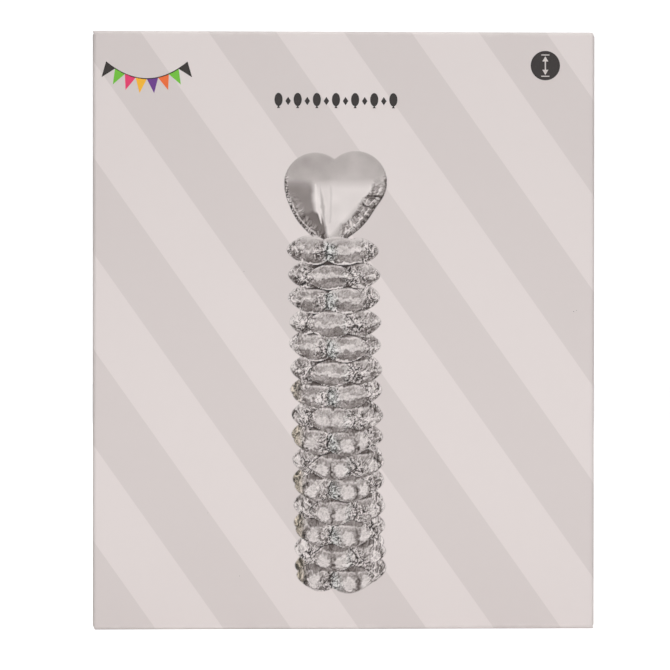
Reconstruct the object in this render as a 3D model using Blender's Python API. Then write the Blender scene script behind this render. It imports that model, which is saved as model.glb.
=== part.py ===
"""Straight tuck end carton of thin paperboard, standing upright with both lids shut.

Run it with blender --background --python part.py, or from Blender's text editor.

The real carton is folded and glued from one sheet. Here each panel and each flap is an object of
its own, parted from its neighbours by a small gap along the fold, so that the lids and flaps turn
on their creases. X runs to the right, Y from the front to the back and Z up. The front faces -Y and
the carton stands on Z = 0. All lengths are in metres.
"""

import math
from dataclasses import dataclass

import bmesh
import bpy
from mathutils import Matrix, Vector

WIDTH = 0.210
DEPTH = 0.020
HEIGHT = 0.250

# Thickness of the board, outer radius of a fold, and the gap between neighbouring pieces
BOARD = 0.0006
FOLD = 0.0010
GAP = 0.0003

# A lid is cut this much shorter than the front at each end
LID_SHORTENING = 0.0006

# The tuck flap leans in from the back panel, so that it slides past the panel's edge
TUCK_LEAN = math.radians(25)
TUCK_LENGTH = 0.009
TUCK_SHORTENING = 0.0025
TUCK_CORNER = 0.007

DUST_FLAP_LENGTH = 0.035
DUST_FLAP_CORNER = 0.003
# Where the dust flap's rear edge runs, at the fold and past its shoulder
DUST_FLAP_ROOT_REAR = 0.0068
DUST_FLAP_REAR = 0.0034
DUST_FLAP_SHOULDER = 0.006

GLUE_FLAP_LENGTH = 0.013
GLUE_FLAP_BEVEL = 0.010

# Facets in each rounded fold, and in each rounded corner of a flap
FOLD_FACETS = 4
CORNER_FACETS = 6

# Colour and roughness of the printed outside and of the plain inside of the board
PRINTED = ((0.694, 0.631, 0.617, 1.0), 0.45)
PLAIN = ((0.740, 0.720, 0.690, 1.0), 0.75)

X_AXIS = Vector((1.0, 0.0, 0.0))
Y_AXIS = Vector((0.0, 1.0, 0.0))
Z_AXIS = Vector((0.0, 0.0, 1.0))

# Middles of the front panel's folds, and of a lid's rear fold just inside the back panel
FRONT_FOLD_Y = -DEPTH / 2 + FOLD
REAR_FOLD_Y = DEPTH / 2 - BOARD - GAP - FOLD

# Half of the gap between two pieces, as an angle round the fold
HALF_GAP_TURN = GAP / 2 / FOLD
FRONT_HALF_TURN = math.pi / 4
TUCK_TURN = math.pi / 2 + TUCK_LEAN

# How deep inside each end the dust flaps' outer faces lie
DUST_DEPTH = BOARD + GAP


@dataclass(frozen=True)
class End:
    """The top or the bottom of the carton.

    Attributes:
        name: Start of the names of the pieces at this end.
        level: Height of the closed lid's outer face.
        out: 1 where outwards is up, -1 where it is down.
    """

    name: str
    level: float
    out: int

    def height(self, depth: float) -> float:
        """Return the height of what lies this deep inside the end."""
        return self.level - self.out * depth


@dataclass(frozen=True)
class Side:
    """The left or the right of the carton, as seen from the front.

    Attributes:
        name: Word used in the names of the pieces on this side.
        out: -1 on the left, 1 on the right.
    """

    name: str
    out: int


ENDS = (End("top", HEIGHT, 1), End("bottom", 0.0, -1))
SIDES = (Side("left", -1), Side("right", 1))


def clear_scene() -> None:
    """Remove every object that the scene starts with."""
    for old in list(bpy.data.objects):
        bpy.data.objects.remove(old, do_unlink=True)


def flat_sheet(corners: list) -> bmesh.types.BMesh:
    """Return a sheet that is one flat face with these corners, in order."""
    sheet = bmesh.new()
    sheet.faces.new([sheet.verts.new(corner) for corner in corners])
    return sheet


def edge_where(sheet: bmesh.types.BMesh, axis: int, value: float) -> list:
    """Return the sheet's edges whose two ends both lie at one value of a coordinate."""
    tolerance = 1e-7
    return [
        edge
        for edge in sheet.edges
        if all(abs(vert.co[axis] - value) < tolerance for vert in edge.verts)
    ]


def fold_edge(sheet: bmesh.types.BMesh, edges: list, centre: tuple, axis: Vector, turn: float) -> None:
    """Carry the sheet on round a fold, from its edges and in small facets."""
    step = Matrix.Rotation(turn / FOLD_FACETS, 3, axis)
    for _ in range(FOLD_FACETS):
        grown = bmesh.ops.extrude_edge_only(sheet, edges=edges)["geom"]
        verts = [item for item in grown if isinstance(item, bmesh.types.BMVert)]
        bmesh.ops.rotate(sheet, verts=verts, cent=centre, matrix=step)
        edges = [
            item
            for item in grown
            if isinstance(item, bmesh.types.BMEdge) and all(vert in verts for vert in item.verts)
        ]


def board_material(name: str, colour: tuple, roughness: float) -> bpy.types.Material:
    """Return a matt board material."""
    material = bpy.data.materials.new(name)
    material.use_nodes = True
    shader = material.node_tree.nodes["Principled BSDF"]
    shader.inputs["Base Color"].default_value = colour
    shader.inputs["Roughness"].default_value = roughness
    shader.inputs["Metallic"].default_value = 0.0
    material.diffuse_color = colour
    return material


def board(
    name: str,
    sheet: bmesh.types.BMesh,
    outward: Vector,
    finish: tuple,
    origin: Vector,
    parent: bpy.types.Object | None = None,
) -> bpy.types.Object:
    """Give a sheet its thickness, inwards from its outer face, and place it.

    Args:
        name: The object's name.
        sheet: The outer face, in the carton's coordinates.
        outward: The way that its largest face looks.
        finish: Colour and roughness.
        origin: The object's origin, on the crease for a piece that moves.
        parent: The piece that carries it.

    Returns:
        The new object.
    """
    bmesh.ops.recalc_face_normals(sheet, faces=sheet.faces)
    largest = max(sheet.faces, key=lambda face: face.calc_area())
    if largest.normal.dot(outward) < 0:
        bmesh.ops.reverse_faces(sheet, faces=sheet.faces)
    bmesh.ops.translate(sheet, vec=-origin, verts=sheet.verts)
    mesh = bpy.data.meshes.new(name)
    sheet.to_mesh(mesh)
    sheet.free()
    mesh.materials.append(board_material(name, *finish))

    piece = bpy.data.objects.new(name, mesh)
    bpy.context.collection.objects.link(piece)
    thickness = piece.modifiers.new("board thickness", "SOLIDIFY")
    thickness.thickness = BOARD
    thickness.offset = -1.0
    thickness.use_even_offset = True
    piece.location = origin
    if parent is not None:
        piece.parent = parent
        piece.location = origin - parent.location
    return piece


def rounded_tip(half_width: float, length: float, radius: float) -> list:
    """Return a flap's outline as (across, along) pairs, from one root corner round to the other."""
    arc = [math.pi / 2 * number / CORNER_FACETS for number in range(CORNER_FACETS + 1)]
    right = [
        (half_width - radius + radius * math.cos(turn), length - radius + radius * math.sin(turn))
        for turn in arc
    ]
    left = [(-across, along) for across, along in reversed(right)]
    return [(half_width, 0.0), *right, *left, (-half_width, 0.0)]


def make_front_panel() -> None:
    """Make the front, whose top and bottom edges curl in to meet the lids."""
    half = WIDTH / 2 - FOLD - GAP
    low = FOLD
    high = HEIGHT - FOLD
    y = -DEPTH / 2
    sheet = flat_sheet([(-half, y, low), (half, y, low), (half, y, high), (-half, y, high)])
    for end in ENDS:
        height = end.height(FOLD)
        turn = -end.out * (FRONT_HALF_TURN - HALF_GAP_TURN)
        fold_edge(sheet, edge_where(sheet, 2, height), (0.0, FRONT_FOLD_Y, height), X_AXIS, turn)
    board("front_panel", sheet, -Y_AXIS, PRINTED, Vector((0.0, y, HEIGHT / 2)))


def make_back_panel() -> None:
    """Make the back, which is flat and has a raw edge at the top and the bottom."""
    right = WIDTH / 2 - FOLD - GAP
    left = -WIDTH / 2 + BOARD + GAP + FOLD + GAP
    y = DEPTH / 2
    corners = [(right, y, 0.0), (left, y, 0.0), (left, y, HEIGHT), (right, y, HEIGHT)]
    board("back_panel", flat_sheet(corners), Y_AXIS, PRINTED, Vector((0.0, y, HEIGHT / 2)))


def make_side_panel(side: Side) -> None:
    """Make a side, folded round to the front and to its dust flaps.

    The right side is folded round to the back too. The left side ends there in a raw edge.
    """
    joined_to_back = side.out > 0
    x = side.out * WIDTH / 2
    rear = DEPTH / 2 - FOLD if joined_to_back else DEPTH / 2
    low = DUST_DEPTH + FOLD
    high = HEIGHT - DUST_DEPTH - FOLD
    sheet = flat_sheet(
        [(x, FRONT_FOLD_Y, low), (x, rear, low), (x, rear, high), (x, FRONT_FOLD_Y, high)]
    )
    ends = {end.name: edge_where(sheet, 2, end.height(DUST_DEPTH + FOLD)) for end in ENDS}
    front = edge_where(sheet, 1, FRONT_FOLD_Y)
    back = edge_where(sheet, 1, rear)

    quarter = math.pi / 2
    middle = x - side.out * FOLD
    fold_edge(sheet, front, (middle, FRONT_FOLD_Y, 0.0), Z_AXIS, -side.out * quarter)
    if joined_to_back:
        fold_edge(sheet, back, (middle, rear, 0.0), Z_AXIS, side.out * quarter)
    for end in ENDS:
        centre = (middle, 0.0, end.height(DUST_DEPTH + FOLD))
        fold_edge(sheet, ends[end.name], centre, Y_AXIS, -side.out * end.out * quarter)
    board(f"{side.name}_side_panel", sheet, side.out * X_AXIS, PRINTED, Vector((x, 0.0, HEIGHT / 2)))


def make_glue_flap() -> None:
    """Make the flap that carries the back panel round and is glued inside the left side."""
    x = -WIDTH / 2 + BOARD + GAP
    root = DEPTH / 2 - FOLD
    tip = root - GLUE_FLAP_LENGTH
    low = DUST_DEPTH + FOLD
    high = HEIGHT - low
    sheet = flat_sheet(
        [
            (x, root, low),
            (x, root, high),
            (x, tip, high - GLUE_FLAP_BEVEL),
            (x, tip, low + GLUE_FLAP_BEVEL),
        ]
    )
    fold_edge(sheet, edge_where(sheet, 1, root), (x + FOLD, root, 0.0), Z_AXIS, -math.pi / 2)
    board("glue_flap", sheet, -X_AXIS, PRINTED, Vector((x, root, HEIGHT / 2)))


def make_lid(end: End) -> bpy.types.Object:
    """Make a lid, with its origin on its crease at the front."""
    half = WIDTH / 2 - LID_SHORTENING
    z = end.level
    sheet = flat_sheet(
        [
            (-half, FRONT_FOLD_Y, z),
            (half, FRONT_FOLD_Y, z),
            (half, REAR_FOLD_Y, z),
            (-half, REAR_FOLD_Y, z),
        ]
    )
    front = edge_where(sheet, 1, FRONT_FOLD_Y)
    rear = edge_where(sheet, 1, REAR_FOLD_Y)
    height = end.height(FOLD)
    front_turn = end.out * (FRONT_HALF_TURN - HALF_GAP_TURN)
    rear_turn = -end.out * (TUCK_TURN / 2 - HALF_GAP_TURN)
    fold_edge(sheet, front, (0.0, FRONT_FOLD_Y, height), X_AXIS, front_turn)
    fold_edge(sheet, rear, (0.0, REAR_FOLD_Y, height), X_AXIS, rear_turn)
    reach = FOLD * math.sin(FRONT_HALF_TURN)
    crease = Vector((0.0, FRONT_FOLD_Y - reach, end.height(FOLD - reach)))
    return board(f"{end.name}_lid", sheet, end.out * Z_AXIS, PRINTED, crease)


def make_tuck_flap(end: End, lid: bpy.types.Object) -> None:
    """Make the flap that tucks in behind the back panel, with its origin on the lid's rear crease."""
    half = WIDTH / 2 - TUCK_SHORTENING
    height = end.height(FOLD)
    outward = Vector((0.0, math.sin(TUCK_TURN), end.out * math.cos(TUCK_TURN)))
    along = Vector((0.0, math.cos(TUCK_TURN), -end.out * math.sin(TUCK_TURN)))
    centre = Vector((0.0, REAR_FOLD_Y, height))
    root = centre + FOLD * outward
    outline = rounded_tip(half, TUCK_LENGTH, TUCK_CORNER)
    sheet = flat_sheet([root + across * X_AXIS + reach * along for across, reach in outline])
    turn = end.out * (TUCK_TURN / 2 - HALF_GAP_TURN)
    fold_edge(sheet, edge_where(sheet, 2, root.z), centre, X_AXIS, turn)
    middle = Vector((0.0, math.sin(TUCK_TURN / 2), end.out * math.cos(TUCK_TURN / 2)))
    board(f"{end.name}_tuck_flap", sheet, outward, PRINTED, centre + FOLD * middle, lid)


def make_dust_flap(end: End, side: Side) -> None:
    """Make a dust flap, which lies under the lid and turns inwards on its inner edge."""
    root = WIDTH / 2 - FOLD - GAP
    front = FRONT_FOLD_Y + DUST_DEPTH - BOARD
    tip = root - DUST_FLAP_LENGTH
    z = end.height(DUST_DEPTH)
    outline = [
        (root, front),
        (root, DUST_FLAP_ROOT_REAR),
        (root - DUST_FLAP_SHOULDER, DUST_FLAP_REAR),
        (tip + DUST_FLAP_CORNER, DUST_FLAP_REAR),
        (tip, DUST_FLAP_REAR - DUST_FLAP_CORNER),
        (tip, front + DUST_FLAP_CORNER),
        (tip + DUST_FLAP_CORNER, front),
    ]
    sheet = flat_sheet([(side.out * x, y, z) for x, y in outline])
    crease = Vector((side.out * root, 0.0, end.height(DUST_DEPTH + BOARD)))
    board(f"{end.name}_dust_flap_{side.name}", sheet, end.out * Z_AXIS, PLAIN, crease)


def main() -> None:
    """Build the whole carton."""
    clear_scene()
    make_front_panel()
    make_back_panel()
    make_glue_flap()
    for side in SIDES:
        make_side_panel(side)
    for end in ENDS:
        lid = make_lid(end)
        make_tuck_flap(end, lid)
        for side in SIDES:
            make_dust_flap(end, side)


if __name__ == "__main__":
    main()
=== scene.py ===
import logging
import math
from dataclasses import dataclass
from enum import Enum
from typing import ClassVar

import bpy
import numpy as np
from bpy.types import Material, Mesh, Node, NodeSocket, NodeTree, Object
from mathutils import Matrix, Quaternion, Vector


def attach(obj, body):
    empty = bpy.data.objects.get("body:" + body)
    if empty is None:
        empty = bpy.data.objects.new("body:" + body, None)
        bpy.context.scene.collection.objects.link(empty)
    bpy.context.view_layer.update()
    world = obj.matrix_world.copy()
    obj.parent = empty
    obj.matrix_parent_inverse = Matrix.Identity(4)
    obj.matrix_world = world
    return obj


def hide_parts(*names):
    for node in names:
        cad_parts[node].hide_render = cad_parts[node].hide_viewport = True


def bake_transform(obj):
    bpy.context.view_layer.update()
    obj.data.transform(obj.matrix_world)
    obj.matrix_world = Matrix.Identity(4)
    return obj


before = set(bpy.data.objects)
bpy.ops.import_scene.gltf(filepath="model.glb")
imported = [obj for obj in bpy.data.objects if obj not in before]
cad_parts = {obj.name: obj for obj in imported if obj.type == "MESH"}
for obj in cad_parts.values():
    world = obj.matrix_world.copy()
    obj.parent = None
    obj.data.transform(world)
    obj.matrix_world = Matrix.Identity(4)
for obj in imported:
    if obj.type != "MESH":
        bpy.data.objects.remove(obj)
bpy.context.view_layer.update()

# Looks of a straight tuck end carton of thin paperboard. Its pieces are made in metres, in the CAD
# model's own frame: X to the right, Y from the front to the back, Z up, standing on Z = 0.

log = logging.getLogger("carton")

MM = 0.001
FILM = 0.03 * MM
ORIGIN = (0.0, 0.0, 0.0)
WHITE = (1.0, 1.0, 1.0, 1.0)
UPWARD = -math.pi / 2
DOWNWARD = math.pi / 2

Array = np.ndarray
Sockets = bpy.types.bpy_prop_collection


def display(red: float, green: float, blue: float) -> tuple:
    """Return the linear colour that a screen shows as these values from 0 to 255."""
    shares = (red / 255.0, green / 255.0, blue / 255.0)
    return tuple(linear(np.asarray(share)).item() for share in shares) + (1.0,)


def linear(share: Array) -> Array:
    """Return the linear light of display values from 0 to 1."""
    return np.where(share <= 0.04045, share / 12.92, ((share + 0.055) / 1.055) ** 2.4)


def smooth(low: float, high: float, value: Array) -> Array:
    """Return 0 at low and 1 at high, with no corner at either end."""
    share = np.clip((value - low) / (high - low), 0.0, 1.0)
    return share * share * (3.0 - 2.0 * share)


def mix(first: Array, second: Array, share: Array) -> Array:
    """Return the first value where share is 0, the second where it is 1, and between."""
    return first * (1.0 - share) + second * share


def graded(start: float, end: float, step: float) -> Array:
    """Return places from start to end, about a step apart and closer near both ends.

    Args:
        start: First place.
        end: Last place, which may be below the first.
        step: Usual distance between neighbours.

    Returns:
        The places, in order.
    """
    near = np.array([0.0, 0.4, 0.9, 1.6, 2.6, 4.0]) * MM
    length = abs(end - start)
    count = max(1, round((length - 2 * near[-1]) / step))
    middle = np.linspace(near[-1], length - near[-1], count + 1)
    places = np.concatenate([near[:-1], middle, length - near[-2::-1]])
    return start + math.copysign(1.0, end - start) * places


class Part(Enum):
    """A part of the carton that the names of its pieces tell."""

    @property
    def word(self) -> str:
        """The word for it in those names."""
        return self.name.lower()


class End(Part):
    """The top or the bottom of the carton. Each value is 1 where outwards is up, else -1."""

    TOP = 1
    BOTTOM = -1


class Side(Part):
    """The left or the right of the carton, as seen from the front."""

    LEFT = -1
    RIGHT = 1


@dataclass(frozen=True)
class Carton:
    """Sizes of the carton, in metres, the same as in the CAD source but for the front's folds.

    Attributes:
        width: Outside, left to right.
        depth: Outside, front to back.
        height: Outside, bottom to top.
        board: Thickness of the board.
        fold: Outer radius of an upright fold and of a flap's fold.
        front_fold: Outer radius of the two upright folds beside the front, which are softer.
        crease: Outer radius of a lid's fold along the front.
        gap: Room between pieces that lie over each other.
        lean: How far a tuck flap leans in from the back.
        tuck: Length of a tuck flap.
        tuck_half: Half the width of a tuck flap.
        tuck_corner: Radius of a tuck flap's corners.
        dust: Length of a dust flap.
        dust_corner: Radius of a dust flap's corners.
        dust_front: Where the front edge of a dust flap runs.
        dust_root: Where its rear edge meets the fold.
        dust_rear: Where its rear edge runs, past its shoulder.
        dust_shoulder: Length of its shoulder.
        glue: Length of the glue flap.
        glue_bevel: How much shorter its tip is at each end.
    """

    width: float = 210 * MM
    depth: float = 20 * MM
    height: float = 250 * MM
    board: float = 0.6 * MM
    fold: float = 1.0 * MM
    front_fold: float = 1.7 * MM
    crease: float = 1.5 * MM
    gap: float = 0.3 * MM
    lean: float = math.radians(25)
    tuck: float = 9 * MM
    tuck_half: float = 102.5 * MM
    tuck_corner: float = 7 * MM
    dust: float = 35 * MM
    dust_corner: float = 3 * MM
    dust_front: float = -8.7 * MM
    dust_root: float = 6.8 * MM
    dust_rear: float = 3.4 * MM
    dust_shoulder: float = 6 * MM
    glue: float = 13 * MM
    glue_bevel: float = 10 * MM

    @property
    def inset(self) -> float:
        """Depth of the dust flaps' outer faces inside each end."""
        return self.board + self.gap

    @property
    def rear_fold(self) -> float:
        """Middle of the lids' rear fold."""
        return self.depth / 2 - self.board - self.gap - self.fold

    def level(self, end: End, depth: float = 0.0) -> float:
        """Return the height of what lies this deep inside an end."""
        return self.height - depth if end is End.TOP else depth


CARTON = Carton()


class Noise:
    """Smooth random heights from -1 to 1 on a plane, from a seeded lattice."""

    CELLS = 256

    def __init__(self, seed: int) -> None:
        """Draw the lattice from the seed."""
        draw = np.random.default_rng(seed)
        self.lattice = draw.uniform(-1.0, 1.0, (self.CELLS, self.CELLS))

    def corner(self, column: Array, row: Array) -> Array:
        """Return the height at a point of the lattice."""
        return self.lattice[row % self.CELLS, column % self.CELLS]

    def at(self, x: Array, y: Array) -> Array:
        """Return the height at a place, with the lattice's points one unit apart.

        Args:
            x: Places across.
            y: Places up.

        Returns:
            Heights from -1 to 1.
        """
        column = np.floor(x).astype(int)
        row = np.floor(y).astype(int)
        across = smooth(0.0, 1.0, x - column)
        low = mix(self.corner(column, row), self.corner(column + 1, row), across)
        high = mix(self.corner(column, row + 1), self.corner(column + 1, row + 1), across)
        return mix(low, high, smooth(0.0, 1.0, y - row))

    def creases(self, x: Array, y: Array, width: float) -> Array:
        """Return 1 on thin winding lines, fading out within a width."""
        return smooth(width, 0.0, np.abs(self.at(x, y)))


class Facets:
    """Small flat patches of random tone, as crumpled foil has."""

    CELLS = 128
    AROUND = ((0, 0), (-1, 0), (1, 0), (0, -1), (0, 1), (-1, -1), (1, -1), (-1, 1), (1, 1))

    def __init__(self, seed: int) -> None:
        """Draw each patch's middle and tone from the seed.

        Args:
            seed: Where the random draws start.
        """
        draw = np.random.default_rng(seed)
        self.middle_x = draw.uniform(0.1, 0.9, (self.CELLS, self.CELLS))
        self.middle_y = draw.uniform(0.1, 0.9, (self.CELLS, self.CELLS))
        self.tone = draw.uniform(-1.0, 1.0, (self.CELLS, self.CELLS))

    def at(self, x: Array, y: Array) -> tuple:
        """Return the tone of the patch at a place, and 1 on the crease round it.

        Args:
            x: Places across, with patches about one unit wide.
            y: Places up.

        Returns:
            Tones from -1 to 1, and creases from 0 to 1.
        """
        column = np.floor(x).astype(int)
        row = np.floor(y).astype(int)
        nearest = np.full(x.shape, 9.0)
        second = np.full(x.shape, 9.0)
        tone = np.zeros(x.shape)
        for across, up in self.AROUND:
            cell = ((row + up) % self.CELLS, (column + across) % self.CELLS)
            away_x = column + across + self.middle_x[cell] - x
            away = np.hypot(away_x, row + up + self.middle_y[cell] - y)
            wins = away < nearest
            second = np.where(wins, nearest, np.minimum(second, away))
            nearest = np.where(wins, away, nearest)
            tone = np.where(wins, self.tone[cell], tone)
        return tone, smooth(0.22, 0.0, second - nearest)


class FrontFace:
    """The front of the carton, which bows out a little between its folds."""

    BOW = 0.30 * MM
    WAVE = 0.05 * MM
    WAVE_LENGTH = 38 * MM

    def __init__(self, carton: Carton) -> None:
        """Take the carton's sizes and draw the waves.

        Args:
            carton: The carton's sizes.
        """
        self.half_width = carton.width / 2 - carton.front_fold
        self.half_height = carton.height / 2 - carton.crease
        self.middle = carton.height / 2
        self.rest = -carton.depth / 2
        self.waves = Noise(41)

    def y(self, x: Array, z: Array) -> Array:
        """Return where the front lies at places across and up.

        Args:
            x: Places across, in metres.
            z: Places up.

        Returns:
            Y at each place.
        """
        across = np.clip(1.0 - (x / self.half_width) ** 2, 0.0, 1.0)
        upward = np.clip(1.0 - ((z - self.middle) / self.half_height) ** 2, 0.0, 1.0)
        wave = self.waves.at(x / self.WAVE_LENGTH + 9.0, z / self.WAVE_LENGTH + 9.0)
        return self.rest - across * upward * (self.BOW + self.WAVE * wave)


FRONT = FrontFace(CARTON)


class Graph:
    """Short words for building a tree of nodes."""

    def __init__(self, tree: NodeTree) -> None:
        """Take the tree to build in."""
        self.tree = tree

    def feed(self, socket: NodeSocket, value: object) -> None:
        """Link a socket or a node's first output to an input, or give it a plain value.

        Args:
            socket: The input.
            value: A node, a socket or a plain value.
        """
        if isinstance(value, Node):
            value = value.outputs[0]
        if isinstance(value, NodeSocket):
            self.tree.links.new(value, socket)
        else:
            socket.default_value = value

    def node(self, kind: str, settings: dict | None = None, **values: object) -> Node:
        """Add a node.

        Args:
            kind: Its type.
            settings: Its settings, by name.
            values: What its inputs get, by name, with a low line for each space.

        Returns:
            The node.
        """
        node = self.tree.nodes.new(kind)
        for name, value in (settings or {}).items():
            setattr(node, name, value)
        for name, value in values.items():
            self.feed(node.inputs[name.replace("_", " ")], value)
        return node

    def math(self, operation: str, *values: object, clamp: bool = False) -> Node:
        """Add a Math node on these values.

        Args:
            operation: What it works out.
            values: What its inputs get.
            clamp: Whether the result is kept from 0 to 1.

        Returns:
            The node.
        """
        node = self.node("ShaderNodeMath", {"operation": operation, "use_clamp": clamp})
        for socket, value in zip(node.inputs, values):
            self.feed(socket, value)
        return node

    def times(self, first: object, second: object, clamp: bool = False) -> Node:
        """Multiply two values."""
        return self.math("MULTIPLY", first, second, clamp=clamp)

    def plus(self, first: object, second: object, clamp: bool = False) -> Node:
        """Add two values."""
        return self.math("ADD", first, second, clamp=clamp)

    def span(self, value: object, low: float, high: float, start: float, end: float) -> object:
        """Carry a value from one range smoothly to another.

        Args:
            value: The value.
            low: Where the first range starts.
            high: Where it ends.
            start: Where the other range starts.
            end: Where it ends.

        Returns:
            The node.
        """
        node = self.node("ShaderNodeMapRange", {"interpolation_type": "SMOOTHSTEP"})
        for socket, given in zip(node.inputs, (value, low, high, start, end)):
            self.feed(socket, given)
        return node

    def blend(self, share: object, first: object, second: object, kind: str = "MIX") -> object:
        """Mix two colours and return the result.

        Args:
            share: Share of the second colour.
            first: The first colour.
            second: The second colour.
            kind: How they are mixed.

        Returns:
            The socket of the result.
        """
        node = self.node("ShaderNodeMix", {"data_type": "RGBA", "blend_type": kind})
        for number, value in ((0, share), (6, first), (7, second)):
            self.feed(node.inputs[number], value)
        return node.outputs[2]

    def toned(self, colour: object, tone: object) -> object:
        """Multiply a colour by a tone and return the result."""
        return self.blend(1.0, colour, tone, "MULTIPLY")

    def noise(self, vector: object, scale: float, detail: float = 2.0) -> NodeSocket:
        """Add a noise texture and return its value."""
        node = self.node("ShaderNodeTexNoise", Vector=vector, Scale=scale, Detail=detail)
        return node.outputs["Fac"]

    def stretched(self, vector: object, scale: tuple) -> Node:
        """Scale a vector by different amounts along its axes."""
        return self.node("ShaderNodeMapping", Vector=vector, Scale=scale)

    def parts(self, vector: object) -> Sockets:
        """Return a vector's parts, by the names X, Y and Z."""
        return self.node("ShaderNodeSeparateXYZ", Vector=vector).outputs

    def attribute(self, name: str, output: str) -> NodeSocket:
        """Read one of the mesh's own attributes."""
        return self.node("ShaderNodeAttribute", {"attribute_name": name}).outputs[output]

    def place(self) -> NodeSocket:
        """Return the place on the carton."""
        return self.node("ShaderNodeTexCoord").outputs["Object"]

    def group(self, name: str, **values: object) -> Sockets:
        """Place the node group of this name, feed its inputs and return its outputs."""
        tree = bpy.data.node_groups[name]
        return self.node("ShaderNodeGroup", {"node_tree": tree}, **values).outputs


STRIPES = "diagonal stripes"
GRAIN = "board fibres"
WEAR = "rubbed ink"


def new_group(name: str, inputs: dict, outputs: dict) -> tuple:
    """Make an empty shader group with named sockets.

    Args:
        name: The group's name.
        inputs: Kind of each input, by name.
        outputs: Kind of each output, by name.

    Returns:
        A Graph in its tree, what it is given and the sockets of its result.
    """
    tree = bpy.data.node_groups.new(name, "ShaderNodeTree")
    add_sockets(tree, "INPUT", inputs)
    add_sockets(tree, "OUTPUT", outputs)
    graph = Graph(tree)
    given = graph.node("NodeGroupInput").outputs
    return graph, given, graph.node("NodeGroupOutput").inputs


def add_sockets(tree: NodeTree, in_out: str, kinds: dict) -> None:
    """Give a tree inputs or outputs of these kinds, by name."""
    for name, kind in kinds.items():
        tree.interface.new_socket(name, in_out=in_out, socket_type=f"NodeSocket{kind}")


def make_stripe_group() -> None:
    """Build the diagonal stripes, which run on round every fold of the flat sheet."""
    inputs = {"Flat": "Vector", "Light": "Color", "Dark": "Color", "Pitch": "Float"}
    inputs.update({"Slope": "Float", "Start": "Float", "Sharpness": "Float"})
    graph, given, result = new_group(STRIPES, inputs, {"Color": "Color"})
    parts = graph.parts(given["Flat"])
    rise = graph.times(parts["Y"], given["Slope"])
    along = graph.math("SUBTRACT", graph.plus(parts["X"], rise), given["Start"])
    turns = graph.math("DIVIDE", along, given["Pitch"])
    wave = graph.math("SINE", graph.times(turns, 2 * math.pi))
    light = graph.plus(graph.times(wave, given["Sharpness"]), 0.5, clamp=True)
    graph.feed(result["Color"], graph.blend(light, given["Dark"], given["Light"]))


def make_grain_group() -> None:
    """Build the fibres of board: a tone that varies about 1, and a height."""
    inputs = {"Flat": "Vector", "Strength": "Float"}
    outputs = {"Tone": "Float", "Height": "Float"}
    graph, given, result = new_group(GRAIN, inputs, outputs)
    flat = given["Flat"]
    fibres = graph.noise(graph.stretched(flat, (1.0, 2.6, 1.0)), 1500.0, 3.0)
    mottle = graph.noise(flat, 260.0, 3.0)
    cloud = graph.noise(flat, 18.0, 2.0)
    sums = graph.plus(graph.times(fibres, 0.45), graph.times(mottle, 0.35))
    sums = graph.plus(sums, graph.times(cloud, 0.20))
    swing = graph.times(graph.math("SUBTRACT", sums, 0.5), given["Strength"])
    graph.feed(result["Tone"], graph.plus(swing, 1.0))
    graph.feed(result["Height"], graph.plus(graph.times(fibres, 0.6), mottle))


def make_wear_group() -> None:
    """Build the rubbed, cracked ink along folds and cut edges: a mask from 0 to 1."""
    inputs = {"Wear": "Float", "Flat": "Vector", "Amount": "Float"}
    graph, given, result = new_group(WEAR, inputs, {"Mask": "Float"})
    cracks = graph.noise(given["Flat"], 2400.0, 2.0)
    patches = graph.noise(given["Flat"], 160.0, 3.0)
    rough = graph.plus(graph.times(cracks, 0.55), graph.times(patches, 0.75))
    reach = graph.plus(rough, graph.times(given["Wear"], 0.42))
    scaled = graph.times(graph.span(reach, 0.86, 1.18, 0.0, 1.0), given["Amount"])
    graph.feed(result["Mask"], graph.times(scaled, given["Wear"], clamp=True))


class Finish:
    """A material under way."""

    GLOSS = 0.25
    VARNISH = 0.03 * MM
    FIBRE = 0.05 * MM

    def __init__(self, name: str) -> None:
        """Make the material, and a Graph in it.

        Args:
            name: The material's name.
        """
        self.material = bpy.data.materials.new(name)
        self.material.use_nodes = True
        self.shader = self.material.node_tree.nodes["Principled BSDF"]
        self.shader.inputs["Specular IOR Level"].default_value = self.GLOSS
        self.graph = Graph(self.material.node_tree)

    def dress(
        self, colour: object, rough: object, height: object, strength: float, rise: float
    ) -> Material:
        """Feed the shader.

        Args:
            colour: The surface's colour.
            rough: Its roughness.
            height: The height of its bumps, about 0 to 1.
            strength: How strongly they show.
            rise: The height of a bump in metres.

        Returns:
            The finished material.
        """
        bump = self.graph.node("ShaderNodeBump", Strength=strength, Distance=rise, Height=height)
        for name, value in (("Base Color", colour), ("Roughness", rough), ("Normal", bump)):
            self.graph.feed(self.shader.inputs[name], value)
        return self.material

    def dress_ink(self, colour: object, grain: float, rough: float) -> Material:
        """Dress a thin print: ink over fibres, under a varnish.

        Args:
            colour: The ink's colour.
            grain: How much the fibres show in it.
            rough: Least roughness of the varnish.

        Returns:
            The finished material.
        """
        fibres = self.graph.group(GRAIN, Flat=self.graph.place(), Strength=grain)
        toned = self.graph.toned(colour, fibres["Tone"])
        varnish = self.graph.plus(self.graph.times(fibres["Height"], 0.06), rough)
        return self.dress(toned, varnish, fibres["Height"], 0.08, self.VARNISH)


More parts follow.
